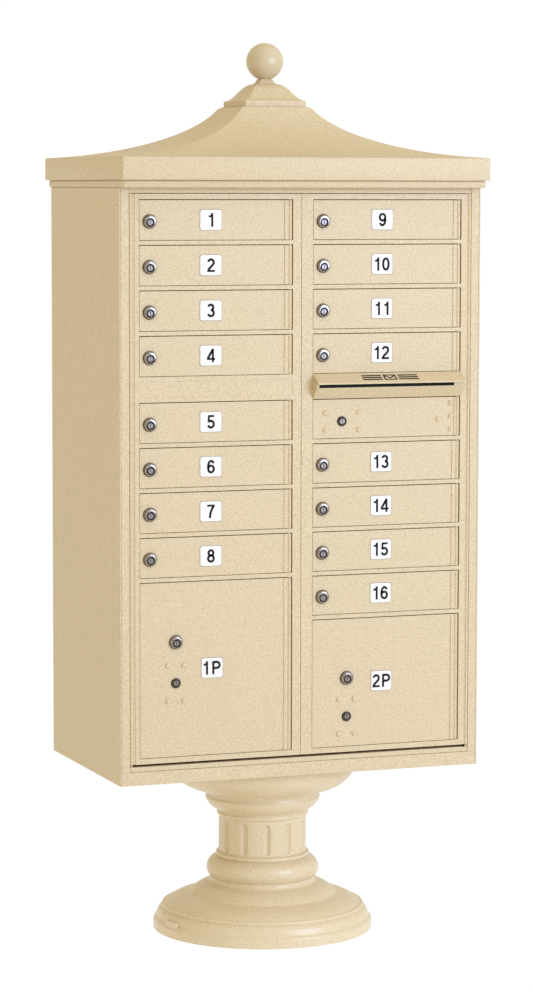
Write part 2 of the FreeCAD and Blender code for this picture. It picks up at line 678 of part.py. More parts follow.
def lock_plug(x, z, toward, reach, face):
    """Turning plug with its key slot, cam and cam screw; toward is the released cam's direction."""
    cam_back = CAM_FRONT + CAM_SHEET
    plug = rod_y(x, z, PLUG_R, face, cam_back)
    plug = plug.cut(box(x - 0.7, x + 0.7, face - 1, face + 3, z - 3.6, z + 3.6))
    half = CAM_WIDTH / 2
    arm = box(x, x + reach - half, CAM_FRONT, cam_back, z - half, z + half)
    arm = arm.fuse(rod_y(x + reach - half, z, half, CAM_FRONT, cam_back))
    arm = arm.fuse(rod_y(x, z, half + 1, CAM_FRONT, cam_back))
    turn = {"right": 0, "down": 90, "left": 180, "up": 270}[toward]
    arm.rotate(Vec(x, 0, z), Vec(0, 1, 0), turn)
    screw = rod_y(x, z, 4, cam_back, cam_back + 2.5)
    return plug.fuse(arm).fuse(screw).removeSplitter()


# ---------------------------------------------------------------- parts
def make_parts():
    export("pedestal_post", *pedestal_post())
    export("pedestal_cover_front", pedestal_cover(True))
    export("pedestal_cover_rear", pedestal_cover(False))
    export("cabinet_bolts", *cabinet_bolts())

    inside = HALF_W - SHEET
    export("cabinet_floor", cabinet_floor())
    export("cabinet_left_side", *side_wall(-1))
    export("cabinet_right_side", *side_wall(1))
    export("cabinet_rear_panel", box(-inside, inside, BACK_INSIDE, HALF_D, CABINET_BASE, CABINET_TOP))
    lid_low = CABINET_TOP - SHEET
    export("cabinet_top_panel", box(-inside, inside, FRONT + SHEET, BACK_INSIDE, lid_low, CABINET_TOP))
    export("front_frame", *front_frame())
    export("centre_divider", *centre_divider())
    export("shelves", *shelves())
    export("master_door_pivots", *master_pivots())

    export("roof_moulding", *roof_moulding())
    export("roof_cap", roof_cap())
    export("roof_finial", *finial())

    export("left_master_door", *left_master_door())
    export("right_master_door", *right_master_door())
    export("master_latch", *master_latch())
    export("outgoing_hood", *outgoing_hood())

    plug_face = FRONT - BEZEL_PROUD + 1
    carrier_face = FRONT - CARRIER_PROUD + 0.6
    for number, (x, z) in CUSTOMER_LOCKS.items():
        export(f"door_{number:02d}", *customer_door(number))
        export(f"lock_{number:02d}", lock_plug(x, z, "down", LOCK_INSET + CAM_REACH, plug_face))
    for name in PARCEL:
        export(f"parcel_door_{name}", *parcel_door(name))
        export(f"parcel_lock_{name}", lock_plug(*PARCEL_LOCKS[name], "up", LONG_CAM, plug_face))
    export("outgoing_door", *outgoing_door())
    export("carrier_lock_1p", lock_plug(*CARRIER_LOCKS["1p"], "down", LONG_CAM, carrier_face))
    for name, hole in (("2p", PARCEL["2p"]), ("outgoing", OUTGOING)):
        x, z = CARRIER_LOCKS[name]
        reach = z - hole[2] + CAM_REACH
        export(f"carrier_lock_{name}", lock_plug(x, z, "right", reach, carrier_face))


make_parts()
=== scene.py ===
"""Looks of a cluster mailbox unit: sandstone powder coat, chrome locks and a moulded pedestal cover.

Metres, +Z up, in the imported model's own frame. The doors face -Y.
"""

import json
import math

import bmesh
import bpy
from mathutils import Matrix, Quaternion, Vector


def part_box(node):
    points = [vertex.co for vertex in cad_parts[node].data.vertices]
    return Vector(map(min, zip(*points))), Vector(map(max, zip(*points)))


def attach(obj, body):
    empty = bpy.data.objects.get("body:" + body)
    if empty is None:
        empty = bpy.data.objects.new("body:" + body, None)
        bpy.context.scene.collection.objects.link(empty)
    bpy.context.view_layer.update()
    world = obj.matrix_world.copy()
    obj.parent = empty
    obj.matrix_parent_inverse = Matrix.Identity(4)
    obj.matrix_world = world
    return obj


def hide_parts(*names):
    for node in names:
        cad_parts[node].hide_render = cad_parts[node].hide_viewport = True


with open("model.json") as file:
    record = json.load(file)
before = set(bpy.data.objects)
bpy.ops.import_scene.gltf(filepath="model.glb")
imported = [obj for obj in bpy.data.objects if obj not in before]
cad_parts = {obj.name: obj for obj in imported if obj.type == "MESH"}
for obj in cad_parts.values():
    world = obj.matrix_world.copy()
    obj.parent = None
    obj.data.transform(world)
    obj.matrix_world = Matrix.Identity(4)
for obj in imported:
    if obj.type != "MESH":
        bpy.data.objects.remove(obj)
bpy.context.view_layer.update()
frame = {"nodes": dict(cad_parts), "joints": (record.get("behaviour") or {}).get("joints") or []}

MM = 0.001

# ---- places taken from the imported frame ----
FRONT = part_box("cabinet_left_side")[0].y
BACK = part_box("cabinet_left_side")[1].y
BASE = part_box("cabinet_left_side")[0].z
WALL_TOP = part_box("cabinet_left_side")[1].z
HALF_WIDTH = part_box("cabinet_right_side")[1].x
ROOF_Y = (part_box("roof_cap")[0].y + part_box("roof_cap")[1].y) / 2
JOINTS = {joint["child"]: joint for joint in frame["joints"]}

# ---- sheet and frame sizes ----
SHEET = 3 * MM
FLANGE = 20.1 * MM
FRAME_DEPTH = 20 * MM
JAMB_DEPTH = 23.5 * MM
EDGE_GAP = 1 * MM           # gap round a leaf
BARREL_R = 4 * MM           # hinge barrel of a leaf
STILE_GAP = 1.6 * MM        # dark gap between a barrel and its stile
LEAF_SET_BACK = 1.2 * MM    # leaves lie a little behind the frame's face
STRIP_WIDTH = 7.2 * MM      # hinge strip along a leaf's right edge
LEAF_TOP_GAP = 0.6 * MM     # a leaf ends this much lower than its packed one
GROOVE = 1.4 * MM
ROW_RAIL = 8.4 * MM
SILL_HEIGHT = 27 * MM
SEAM = 0.35 * MM            # hairline between two coated sheets
FRAME_SET_BACK = 1.2 * MM   # strip and header lie a little behind the doors' face
STRIP_GAP, HEADER_GAP = 5.1 * MM, 1 * MM        # from the master doors' foot and head
OVERSHOOT = 5 * MM          # how far a cutter stands out of what it cuts

# ---- locks ----
PLUG_R = 6 * MM
BEZEL_R, BEZEL_PROUD = 13.5 * MM, 6 * MM
CARRIER_R, CARRIER_PROUD = 9.5 * MM, 3 * MM
BEZEL_LIFT = 2 * MM         # the bezel stands this much above the plug
RECESS_R = 8.2 * MM
BARREL_BACK = 19 * MM       # back of the lock barrel behind the frame's face
CAM_SHEET = 3 * MM
SCREW_HEIGHT = 2.5 * MM

# ---- plates ----
PLATE = Vector((44.8 * MM, 1 * MM, 39.8 * MM))
PLATE_CORNER = 4 * MM
PLATE_INSET, PARCEL_PLATE_INSET = 149 * MM, 151.5 * MM      # from a leaf's left edge
PRINT = 0.15 * MM


# ---- modelling helpers
def deselect():
    if bpy.context.mode != "OBJECT":
        bpy.ops.object.mode_set(mode="OBJECT")
    bpy.ops.object.select_all(action="DESELECT")


def activate(piece):
    deselect()
    piece.select_set(True)
    bpy.context.view_layer.objects.active = piece


def named(name):
    """Names the new piece and puts its place into its mesh."""
    piece = bpy.context.active_object
    piece.name = piece.data.name = name
    bpy.ops.object.transform_apply(location=True, rotation=True, scale=True)
    return piece


def block(name, low, high):
    low, high = Vector(low), Vector(high)
    deselect()
    bpy.ops.mesh.primitive_cube_add(size=1, location=(low + high) / 2, scale=high - low)
    return named(name)


def pick(piece, kind, test):
    """Edit mode with only those faces or edges selected that the test holds for."""
    activate(piece)
    bpy.ops.object.mode_set(mode="EDIT")
    bpy.ops.mesh.select_mode(type=kind)
    bpy.ops.mesh.select_all(action="DESELECT")
    form = bmesh.from_edit_mesh(piece.data)
    for part in form.faces if kind == "FACE" else form.edges:
        if test(part):
            part.select_set(True)
    bmesh.update_edit_mesh(piece.data)


def chain(name, points):
    """A line of edges through the points, left in edit mode with all of it selected."""
    points = [Vector(p) for p in points]
    deselect()
    bpy.ops.mesh.primitive_plane_add(size=MM, location=points[0])
    piece = named(name)
    bpy.ops.object.mode_set(mode="EDIT")
    bpy.ops.mesh.select_mode(type="VERT")
    bpy.ops.mesh.select_all(action="SELECT")
    bpy.ops.mesh.merge(type="CENTER")
    for here, there in zip(points, points[1:]):
        bpy.ops.mesh.extrude_region_move(TRANSFORM_OT_translate={"value": there - here})
    bpy.ops.mesh.select_all(action="SELECT")
    return piece


def tidy_mesh(threshold=0.01 * MM):
    """Merges doubles, points every face outwards and leaves edit mode."""
    bpy.ops.mesh.select_all(action="SELECT")
    bpy.ops.mesh.remove_doubles(threshold=threshold)
    bpy.ops.mesh.normals_make_consistent(inside=False)
    bpy.ops.object.mode_set(mode="OBJECT")


def extruded(name, points, push):
    """A flat outline pushed into a prism."""
    piece = chain(name, points)
    bpy.ops.mesh.edge_face_add()
    bpy.ops.mesh.extrude_region_move(TRANSFORM_OT_translate={"value": Vector(push)})
    tidy_mesh()
    return piece


def turned(name, profile, centre, axis, steps=40):
    """A (radius, distance) profile from axis to axis, spun about an axis along Y or Z."""
    centre = Vector(centre)
    along = Vector((0, 0, 1)) if axis == "z" else Vector((0, -1, 0))
    points = [centre + Vector((radius, 0, 0)) + along * far for radius, far in profile]
    piece = chain(name, points)
    bpy.ops.mesh.spin(steps=steps, angle=math.tau, center=centre, axis=along)
    tidy_mesh()
    return piece


def bow(a, m, b, count):
    """Points of the round arc from a through m to b, both ends included."""
    (ax, ay), (mx, my), (bx, by) = a, m, b
    d = 2 * (ax * (my - by) + mx * (by - ay) + bx * (ay - my))
    squares = [ax * ax + ay * ay, mx * mx + my * my, bx * bx + by * by]
    cx = (squares[0] * (my - by) + squares[1] * (by - ay) + squares[2] * (ay - my)) / d
    cy = (squares[0] * (bx - mx) + squares[1] * (ax - bx) + squares[2] * (mx - ax)) / d
    radius = math.hypot(ax - cx, ay - cy)
    start, halfway, end = (math.atan2(y - cy, x - cx) for x, y in (a, m, b))
    sweep = (end - start) % math.tau
    if (halfway - start) % math.tau > sweep:
        sweep -= math.tau
    angles = [start + sweep * i / count for i in range(count + 1)]
    return [(cx + radius * math.cos(t), cy + radius * math.sin(t)) for t in angles]


def bezier(poles, t):
    a, b, c, d = (Vector(p) for p in poles)
    s = 1 - t
    return a * s ** 3 + b * 3 * s * s * t + c * 3 * s * t * t + d * t ** 3


def modify(piece, kind, **settings):
    """Adds a modifier and applies it."""
    activate(piece)
    modifier = piece.modifiers.new(kind.title(), kind)
    for name, value in settings.items():
        setattr(modifier, name, value)
    bpy.ops.object.modifier_apply(modifier=modifier.name)


def soften(piece, width, segments=2, angle=30):
    """Rounds the sharp edges as a coated sheet's are, and keeps the flats flat."""
    modify(piece, "BEVEL", width=width, segments=segments, limit_method="ANGLE",
           angle_limit=math.radians(angle), use_clamp_overlap=True)
    bpy.ops.object.shade_smooth()
    modify(piece, "WEIGHTED_NORMAL", keep_sharp=True, weight=100)


def smooth(piece, angle=32):
    activate(piece)
    bpy.ops.object.shade_smooth_by_angle(angle=math.radians(angle))


def cut(piece, *cutters):
    """Takes the cutters out of the piece and removes them."""
    for cutter in cutters:
        modify(piece, "BOOLEAN", operation="DIFFERENCE", solver="EXACT", object=cutter)
        bpy.data.objects.remove(cutter)
    return piece


def joined(name, pieces):
    activate(pieces[0])
    for piece in pieces[1:]:
        piece.select_set(True)
    bpy.ops.object.join()
    return named(name)


def copied(piece, name, shift):
    """A twin with its own mesh, moved by shift."""
    activate(piece)
    bpy.ops.object.duplicate(linked=False)
    bpy.context.active_object.location = shift
    return named(name)


def stacked(name, rings, centre, corner):
    """A rounded rectangle grown through (half x, half y, z) rings and closed at both ends."""
    half_x, half_y, z = rings[0]
    deselect()
    bpy.ops.mesh.primitive_plane_add(size=2, location=(centre[0], centre[1], z))
    piece = named(name)
    bpy.ops.object.mode_set(mode="EDIT")
    bpy.ops.transform.resize(value=(half_x, half_y, 1), center_override=(centre[0], centre[1], z))
    bpy.ops.mesh.bevel(offset=corner, segments=4, affect="VERTICES")
    for x, y, level in rings[1:]:
        bpy.ops.mesh.extrude_region_move(TRANSFORM_OT_translate={"value": (0, 0, level - z)})
        bpy.ops.transform.resize(value=(x / half_x, y / half_y, 1),
                                 center_override=(centre[0], centre[1], level))
        half_x, half_y, z = x, y, level
    tidy_mesh()
    return piece


def fit(piece, material, body, slot=None, *nodes):
    """Gives the piece its finish, the body that it moves with and the nodes that it stands for."""
    piece.data.materials.clear()
    piece.data.materials.append(material)
    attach(piece, body)
    if nodes:
        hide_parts(*nodes)
    return piece


# ---- finishes
def colour(code):
    """Linear colour of an sRGB hex value."""
    parts = [int(code[i:i + 2], 16) / 255 for i in (1, 3, 5)]
    return [c / 12.92 if c <= 0.04045 else ((c + 0.055) / 1.055) ** 2.4 for c in parts] + [1]


def add(material, kind, settings=None, **inputs):
    """Adds a node with its settings; an input is a value or another node's output."""
    tree = material.node_tree
    node = tree.nodes.new(kind)
    for name, value in (settings or {}).items():
        setattr(node, name, value)
    for name, value in inputs.items():
        socket = node.inputs[name.replace("_", " ")]
        if isinstance(value, bpy.types.NodeSocket):
            tree.links.new(value, socket)
        else:
            socket.default_value = value
    return node


def finish(name, roughness, metallic=0.0):
    """An empty finish and its shader."""
    material = bpy.data.materials.new(name)
    material.use_nodes = True
    shader = material.node_tree.nodes["Principled BSDF"]
    shader.inputs["Roughness"].default_value = roughness
    shader.inputs["Metallic"].default_value = metallic
    shader.inputs["IOR"].default_value = 1.5
    return material, shader


def two_tone(material, shader, factor, codes, spread=(0.0, 1.0)):
    """Blends the finish between two hex colours."""
    ramp = add(material, "ShaderNodeValToRGB", Fac=factor)
    for stop, position, code in zip(ramp.color_ramp.elements, spread, codes):
        stop.position = position
        stop.color = colour(code)
    material.node_tree.links.new(ramp.outputs["Color"], shader.inputs["Base Color"])


def grained(name, dark, light, grain, roughness, metallic=0.0, bump=0.0, bump_grain=None,
            spread=(0.35, 0.65)):
    """A finish that wavers between two colours at one grain size, with a fine relief."""
    material, shader = finish(name, roughness, metallic)
    place = add(material, "ShaderNodeTexCoord").outputs["Object"]
    speck = add(material, "ShaderNodeTexNoise", Vector=place, Scale=1 / grain, Detail=3.0, Roughness=0.6)
    two_tone(material, shader, speck.outputs["Fac"], (dark, light), spread)
    if bump:
        relief = add(material, "ShaderNodeTexNoise", Vector=place, Scale=1 / (bump_grain or grain),
                     Detail=2.0)
        raised = add(material, "ShaderNodeBump", Height=relief.outputs["Fac"], Strength=bump,
                     Distance=0.15 * MM)
        material.node_tree.links.new(raised.outputs["Normal"], shader.inputs["Normal"])
    return material


def galvanised_steel():
    """Hot-dip galvanised steel: grey spangles a few millimetres across."""
    material, shader = finish("galvanised_steel", 0.45, 1.0)
    place = add(material, "ShaderNodeTexCoord").outputs["Object"]
    spangle = add(material, "ShaderNodeTexVoronoi", Vector=place, Scale=1 / (9 * MM))
    two_tone(material, shader, spangle.outputs["Color"], ("#8E9294", "#B9BCBE"))
    return material


def mill_aluminium():
    """Uncoated rolled sheet inside the cabinet: long faint lines along the rolling direction."""
    material, shader = finish("mill_finish_aluminium", 0.55, 1.0)
    place = add(material, "ShaderNodeTexCoord").outputs["Object"]
    # cycles per metre: streaks about 125 mm long and 3.3 mm apart, coarser than real ones so that they show
    turn = add(material, "ShaderNodeMapping", Vector=place, Scale=(8, 300, 300))
    lines = add(material, "ShaderNodeTexNoise", Vector=turn.outputs["Vector"], Scale=1.0, Detail=3.0)
    two_tone(material, shader, lines.outputs["Fac"], ("#A9ABAC", "#CFD0D0"))
    return material


# Baked polyester powder on aluminium: an even matt beige with a fine leathery texture.
COAT = grained("sandstone_powder_coat", "#BFAA82", "#D8C198", 2.8 * MM, 0.55, bump=0.4, bump_grain=2.4 * MM)
# Moulded polymer cover painted to match: a little warmer and silkier than the cabinet's coat.
COVER = grained("painted_pedestal_moulding", "#D0BB94", "#DFCBA5", 3.5 * MM, 0.34, bump=0.12,
                bump_grain=2.2 * MM)
# Smooth sprayed enamel on the cast ball: the coat's colour with a soft highlight.
ENAMEL = grained("sandstone_finial_enamel", "#C2AE88", "#CEBB96", 3 * MM, 0.33, bump=0.1)
# Chrome on die-cast zinc: bright, with a faint haze from handling.
CHROME = grained("chrome_plated_zinc", "#81776F", "#A99F94", 4 * MM, 0.18, 1.0, spread=(0.3, 0.7))
# Turned nickel plugs: greyer and duller than the chrome round them.
SATIN = grained("satin_nickel", "#7E736A", "#9A8E82", 3 * MM, 0.34, 1.0, spread=(0.3, 0.7))
# Blackened nickel plate on the carrier's small locks.
NICKEL = grained("blackened_nickel", "#4A423C", "#6A6058", 3 * MM, 0.25, 1.0, spread=(0.3, 0.7))
# Near-black painted shade of the locks: a ring at the bottom of a recess round the plug, and a ring under a
# bezel that shows as a dark line round it.
LOCK_SHADE_BLACK = grained("painted_lock_shade_black", "#17120F", "#231C18", 2 * MM, 0.95, bump=0.1)
# Zinc-plated, passivated steel cams and latch: satin with a slight yellow cloud.
ZINC = grained("zinc_passivated_steel", "#A8A594", "#C9C7BD", 6 * MM, 0.38, 1.0, bump=0.1)
GALVANISED = galvanised_steel()
MILL = mill_aluminium()
# White plastic laminate of the number plates: smooth, with a soft sheen.
LAMINATE = grained("white_label_laminate", "#E2DBD0", "#E9E2D8", 5 * MM, 0.4, bump=0.03)
# Grey-brown painted shade: the edge of the darker pad under a number plate.
PLATE_EDGE_SHADE = grained("painted_plate_edge_shade", "#7E735F", "#93876F", 2 * MM, 0.8, bump=0.1)
# Screen-printed black ink: matt and very slightly uneven.
INK = grained("black_screen_print", "#080706", "#110F0D", 1.5 * MM, 0.95)
# Near-black painted shade on a sheet inside the mail slot, so that the opening reads as a dark line.
SLOT_SHADE = grained("painted_slot_shade_black", "#050505", "#0C0C0C", 2 * MM, 0.9, bump=0.1)


def coat(piece, body, *nodes):
    return fit(piece, COAT, body, "powder_coat_aluminium", *nodes)


# ---- pedestal
COLUMN_R = 91.5
FLUTES = 12
FLUTE_R, FLUTE_DEPTH = 8.0, 5.2
FLUTE_LOW, FLUTE_HIGH = 164.0, 230.0
SEAM_HALF = math.radians(0.12)


def cover_profile():
    """Outside and inside of the turned cover's section in millimetres, foot first."""
    top = BASE / MM
    outside = [(229.5, 0), (229.5, 14)]
    outside += bow((229.5, 14), (228.3, 19.5), (224.5, 23), 4)[1:]
    outside += bow((222, 27), (219.2, 36.8), (211, 44.5), 6)
    outside += bow((211, 44.5), (211, 49.5), (205.5, 51), 5)[1:]
    outside += bow((205.5, 51), (191, 60.8), (171, 68), 6)[1:]
    outside += bow((155, 72.5), (137, 87), (114.5, 95.5), 8)
    outside += bow((114.5, 95.5), (110, 100), (109, 107), 5)[1:]
    outside += bow((109, 107), (117.5, 125), (107.5, 146), 12)[1:]
    outside += bow((96, 151), (98.5, 155.5), (96, 160), 6)
    outside += [(COLUMN_R, 161 + 75 * i / 40) for i in range(41)]
    outside += bow((94, 238), (96, 242.5), (94, 247), 6)
    outside += bow((95.5, 250), (112.5, 262), (120.5, 277), 8)
    outside += bow((120.5, 277), (118.2, 285), (120.5, 293), 5)[1:]
    outside += bow((127.5, 296), (171, 309), (190.5, 332), 10)
    outside += bow((190.5, 332), (193.4, 340), (194, 347), 4)[1:]
    outside += [(196, 348), (196, top)]
    inside = [
        (189, top), (187, 342), (178, 324), (156, 310), (118, 301), (112, 292), (112, 279), (106, 270),
        (84, 260), (84, 152), (102, 138), (102, 104), (110, 92), (130, 81), (150, 65), (170, 60),
        (186, 52.5), (201, 42), (213, 27), (222, 14), (222, 0),
    ]
    return outside + inside


def flute_depth(angle, z):
    """How far the column's skin is sunk at a place; the flutes are round-bottomed and round-ended."""
    pitch = math.tau / FLUTES
    across = COLUMN_R * ((angle % pitch) - pitch / 2)
    half = math.sqrt(FLUTE_R ** 2 - (FLUTE_R - FLUTE_DEPTH) ** 2)
    beyond = max(0, FLUTE_LOW + half - z, z - FLUTE_HIGH + half)
    away = math.hypot(across, beyond)
    return math.sqrt(FLUTE_R ** 2 - away ** 2) - (FLUTE_R - FLUTE_DEPTH) if away < half else 0


def quarter(count):
    return [math.pi / 2 * i / count for i in range(count + 1)]


def pedestal_cover(name, turn, node):
    """One half shell: the section spun from seam to seam, with six flutes sunk in its column."""
    start = turn + SEAM_HALF
    spin = math.pi - 2 * SEAM_HALF
    out = Vector((math.cos(start), math.sin(start), 0))
    shell = chain(name, [out * radius * MM + Vector((0, 0, z * MM)) for radius, z in cover_profile()])
    bpy.ops.mesh.edge_face_add()
    bpy.ops.mesh.spin(steps=180, angle=spin, center=(0, 0, 0), axis=(0, 0, 1))
    tidy_mesh()
    for vertex in shell.data.vertices:
        place = vertex.co
        radius = math.hypot(place.x, place.y)
        if abs(radius - COLUMN_R * MM) < 0.1 * MM:
            sunk = flute_depth(math.atan2(place.y, place.x), place.z / MM) * MM
            place.x *= 1 - sunk / radius
            place.y *= 1 - sunk / radius
    smooth(shell, 28)
    return fit(shell, COVER, "cabinet", "cover_moulding", node)


def seam_keeper():
    """Raised keeper with a sunk face, by the left seam near the foot of the front shell."""
    keeper = block("seam_keeper", (-231.5 * MM, -21 * MM, 12 * MM), (-221 * MM, 21 * MM, 33 * MM))
    pick(keeper, "FACE", lambda face: face.normal.x < -0.9)
    bpy.ops.mesh.inset(thickness=2.5 * MM)
    bpy.ops.transform.translate(value=(1.8 * MM, 0, 0))
    bpy.ops.mesh.select_all(action="SELECT")
    bpy.ops.transform.translate(value=(3 * MM, 0, 0))
    bpy.ops.object.mode_set(mode="OBJECT")
    keeper.rotation_euler.z = math.radians(13)
    named("seam_keeper")
    soften(keeper, 0.6 * MM)
    return fit(keeper, COVER, "cabinet", "cover_moulding")


pedestal_cover("pedestal_cover_rear_shell", 0, "pedestal_cover_rear")
pedestal_cover("pedestal_cover_front_shell", math.pi, "pedestal_cover_front")
seam_keeper()


# ---- cabinet
def side_sheet(side, node):
    """Side sheet, its front flange and the jamb folded back from the flange."""
    name = "left" if side < 0 else "right"
    sill_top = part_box("front_frame")[0].z + SILL_HEIGHT
    inside = HALF_WIDTH - SHEET
    x0, x1 = sorted((side * inside, side * HALF_WIDTH))
    wall = block(f"{name}_side_sheet", (x0, FRONT, BASE), (x1, BACK, WALL_TOP))
    soften(wall, 0.7 * MM, 3)
    coat(wall, "cabinet", node)

    edge = HALF_WIDTH - FLANGE
    bend = 0.8 * MM
    jamb_back = FRONT + JAMB_DEPTH
    plan = [
        (inside - SEAM, FRONT), (edge + bend, FRONT), (edge + 0.3 * bend, FRONT + 0.3 * bend),
        (edge, FRONT + bend), (edge, jamb_back), (edge + SHEET, jamb_back), (edge + SHEET, FRONT + SHEET),
        (inside - SEAM, FRONT + SHEET),
    ]
    points = [(side * x, y, sill_top) for x, y in plan]
    flange = extruded(f"{name}_front_flange", points, (0, 0, WALL_TOP - sill_top))
    soften(flange, 0.4 * MM)
    coat(flange, "cabinet")


def hemmed_panel(name, node, outward, hem, seam=0.0):
    """Sheet with a shallow pressed field inside its hem, on the side that faces outward."""
    low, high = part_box(node)
    outward = Vector(outward)
    panel = block(name, (low.x + seam, low.y, low.z), (high.x - seam, high.y, high.z))
    pick(panel, "FACE", lambda face: face.normal.dot(outward) > 0.9)
    bpy.ops.mesh.inset(thickness=hem)
    bpy.ops.mesh.extrude_region_move(TRANSFORM_OT_translate={"value": outward * -1 * MM})
    bpy.ops.object.mode_set(mode="OBJECT")
    soften(panel, 0.5 * MM)
    coat(panel, "cabinet", node)


def front_members():
    """Sill between the side sheets, the strip above it, the header over the doors and its lip."""
    low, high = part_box("front_frame")
    door_low, door_high = (corner.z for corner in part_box("left_master_door"))
    sill_top = low.z + SILL_HEIGHT
    gap = HALF_WIDTH - FLANGE
    face, back = FRONT + FRAME_SET_BACK, FRONT + FRAME_DEPTH
    members = (
        ("front_sill", (low.x + SEAM, FRONT, low.z), (high.x - SEAM, FRONT + SHEET, sill_top), 0.8, 3),
        ("strip_under_doors", (-gap, face, sill_top + 0.3 * MM), (gap, back, door_low - STRIP_GAP), 1.1, 3),
        ("header_over_doors", (-gap, face, door_high + HEADER_GAP), (gap, back, high.z), 0.8, 2),
        ("header_lip", (-gap, face, high.z), (gap, FRONT + 2.8 * MM, WALL_TOP - 0.1 * MM), 0.3, 2),
    )
    for name, foot, head, rounding, segments in members:
        member = block(name, foot, head)
        soften(member, rounding * MM, segments)
        coat(member, "cabinet", *(["front_frame"] if name == "front_sill" else []))


side_sheet(-1, "cabinet_left_side")
side_sheet(1, "cabinet_right_side")
hemmed_panel("rear_panel", "cabinet_rear_panel", (0, 1, 0), 16 * MM, 0.4 * MM)
hemmed_panel("floor_panel", "cabinet_floor", (0, 0, -1), 20 * MM)
front_members()


# ---- roof
EAVE_ROUND = 3 * MM
CORNER = 5 * MM


def roof_cap():
    """Pressed cap: upright fascia with rounded edges, then a concave slope up to the shoulder."""
    low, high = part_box("roof_cap")
    eave_x, eave_y = high.x, (high.y - low.y) / 2
    shoulder_x, shoulder_y = 76 * MM, 72 * MM
    step = 2 * MM
    eave_z, shoulder_z = low.z + 46 * MM, high.z - step
    rise = shoulder_z - eave_z
    foot = 1.6 * MM
    rings = [(eave_x - foot, eave_y - foot, low.z),
             (eave_x - 0.3 * foot, eave_y - 0.3 * foot, low.z + 0.3 * foot),
             (eave_x, eave_y, low.z + foot)]
    for t in quarter(3):
        inset = EAVE_ROUND * (1 - math.cos(t))
        rings.append((eave_x - inset, eave_y - inset, eave_z - EAVE_ROUND * (1 - math.sin(t))))
    last = rings[-1]
    poles = [(0, rise), (0.12, 0.5 * rise), (0.5, 0.08 * rise), (1, 0)]
    steps = 36
    for i in range(1, steps + 1):
        share, lift = bezier(poles, 1 - i / steps)
        rings.append((shoulder_x + (last[0] - shoulder_x) * share,
                      shoulder_y + (last[1] - shoulder_y) * share, eave_z + lift))
    edge = 4 * MM
    rings += [(shoulder_x - edge, shoulder_y - edge, shoulder_z + 0.01 * MM),
              (shoulder_x - edge - 0.2 * MM, shoulder_y - edge - 0.2 * MM, shoulder_z + step)]
    cap = stacked("roof_cap_pressing", rings, (0, ROOF_Y), CORNER)
    smooth(cap, 30)
    coat(cap, "cabinet", "roof_cap")


def roof_moulding():
    """Moulding under the cap, with a rounded lower edge."""
    low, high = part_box("roof_moulding")
    half_x, half_y = high.x, (high.y - low.y) / 2
    radius = 4 * MM
    rings = []
    for t in quarter(4):
        inset = radius * (1 - math.sin(t))
        rings.append((half_x - inset, half_y - inset, low.z + radius * (1 - math.cos(t))))
    rings.append((half_x, half_y, high.z - 2.5 * MM))
    rings.append((half_x - 2 * MM, half_y - 2 * MM, high.z))
    moulding = stacked("eave_moulding", rings, (0, ROOF_Y), CORNER)
    smooth(moulding, 30)
    coat(moulding, "cabinet", "roof_moulding")


def roof_finial():
    """Square plinth and bell, a short neck and the ball."""
    low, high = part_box("roof_finial")
    half, plinth = high.x, 12.5 * MM
    base = block("finial_plinth", (-half, ROOF_Y - half, low.z), (half, ROOF_Y + half, low.z + plinth))
    soften(base, 1.2 * MM, 3)
    coat(base, "cabinet", "roof_finial")

    bell_low, bell_high = low.z + plinth, low.z + plinth + 34.5 * MM
    foot, shoulder = 63 * MM, 18.5 * MM
    poles = [(foot, bell_low), (foot - 16 * MM, bell_low + 4 * MM), (foot - 25 * MM, bell_high),
             (shoulder, bell_high)]
    rings = [bezier(poles, i / 20) for i in range(21)]
    neck_top = bell_high + 10 * MM
    rings += [(shoulder, bell_high + 1 * MM), (15 * MM, bell_high + 4 * MM), (12.5 * MM, neck_top)]
    bell = stacked("finial_bell", [(x, x, z) for x, z in rings], (0, ROOF_Y), 2 * MM)
    smooth(bell, 34)
    coat(bell, "cabinet")

    radius = 38 * MM
    count = 28
    profile = [(radius * math.sin(math.pi * i / count), -radius * math.cos(math.pi * i / count))
               for i in range(count + 1)]
    profile[0], profile[-1] = (0, -radius), (0, radius)
    ball = turned("finial_ball", profile, (0, ROOF_Y, high.z - radius), "z", 56)
    smooth(ball, 60)
    fit(ball, ENAMEL, "cabinet", "powder_coat_aluminium")


roof_cap()
roof_moulding()
roof_finial()


# ---- master doors
PIVOT_R = 3.3 * MM
CUSTOMERS = [f"door_{number:02d}" for number in range(1, 17)]
LEFT_DOORS = CUSTOMERS[:8] + ["parcel_door_1p"]
RIGHT_DOORS = CUSTOMERS[8:] + ["parcel_door_2p", "outgoing_door"]
LATCH_GUIDES = (540 * MM, 780 * MM, 1180 * MM)
MASTER_EDGE = 359.4 * MM                                # outer edge of a frame
LEFT_MEETING, RIGHT_MEETING = -4.2 * MM, -3.5 * MM      # inner edges, where the frames meet
STILE_STEP, STILE_STEP_DEPTH = 3.2 * MM, 1.3 * MM
PANEL_SINK = 1 * MM                                     # blank panel behind the frame's face


def opening_of(door):
    """(x0, x1, z0, z1) of the opening that a leaf fills."""
    low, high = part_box(door)
    return low.x - EDGE_GAP, high.x + STILE_GAP, low.z - EDGE_GAP, high.z + EDGE_GAP


def rod_profile(radius, flat, chamfer, length):
    """Section of a rod with chamfered ends, from axis to axis."""
    return [(0, 0), (flat, 0), (radius, chamfer), (radius, length - chamfer), (flat, length), (0, length)]


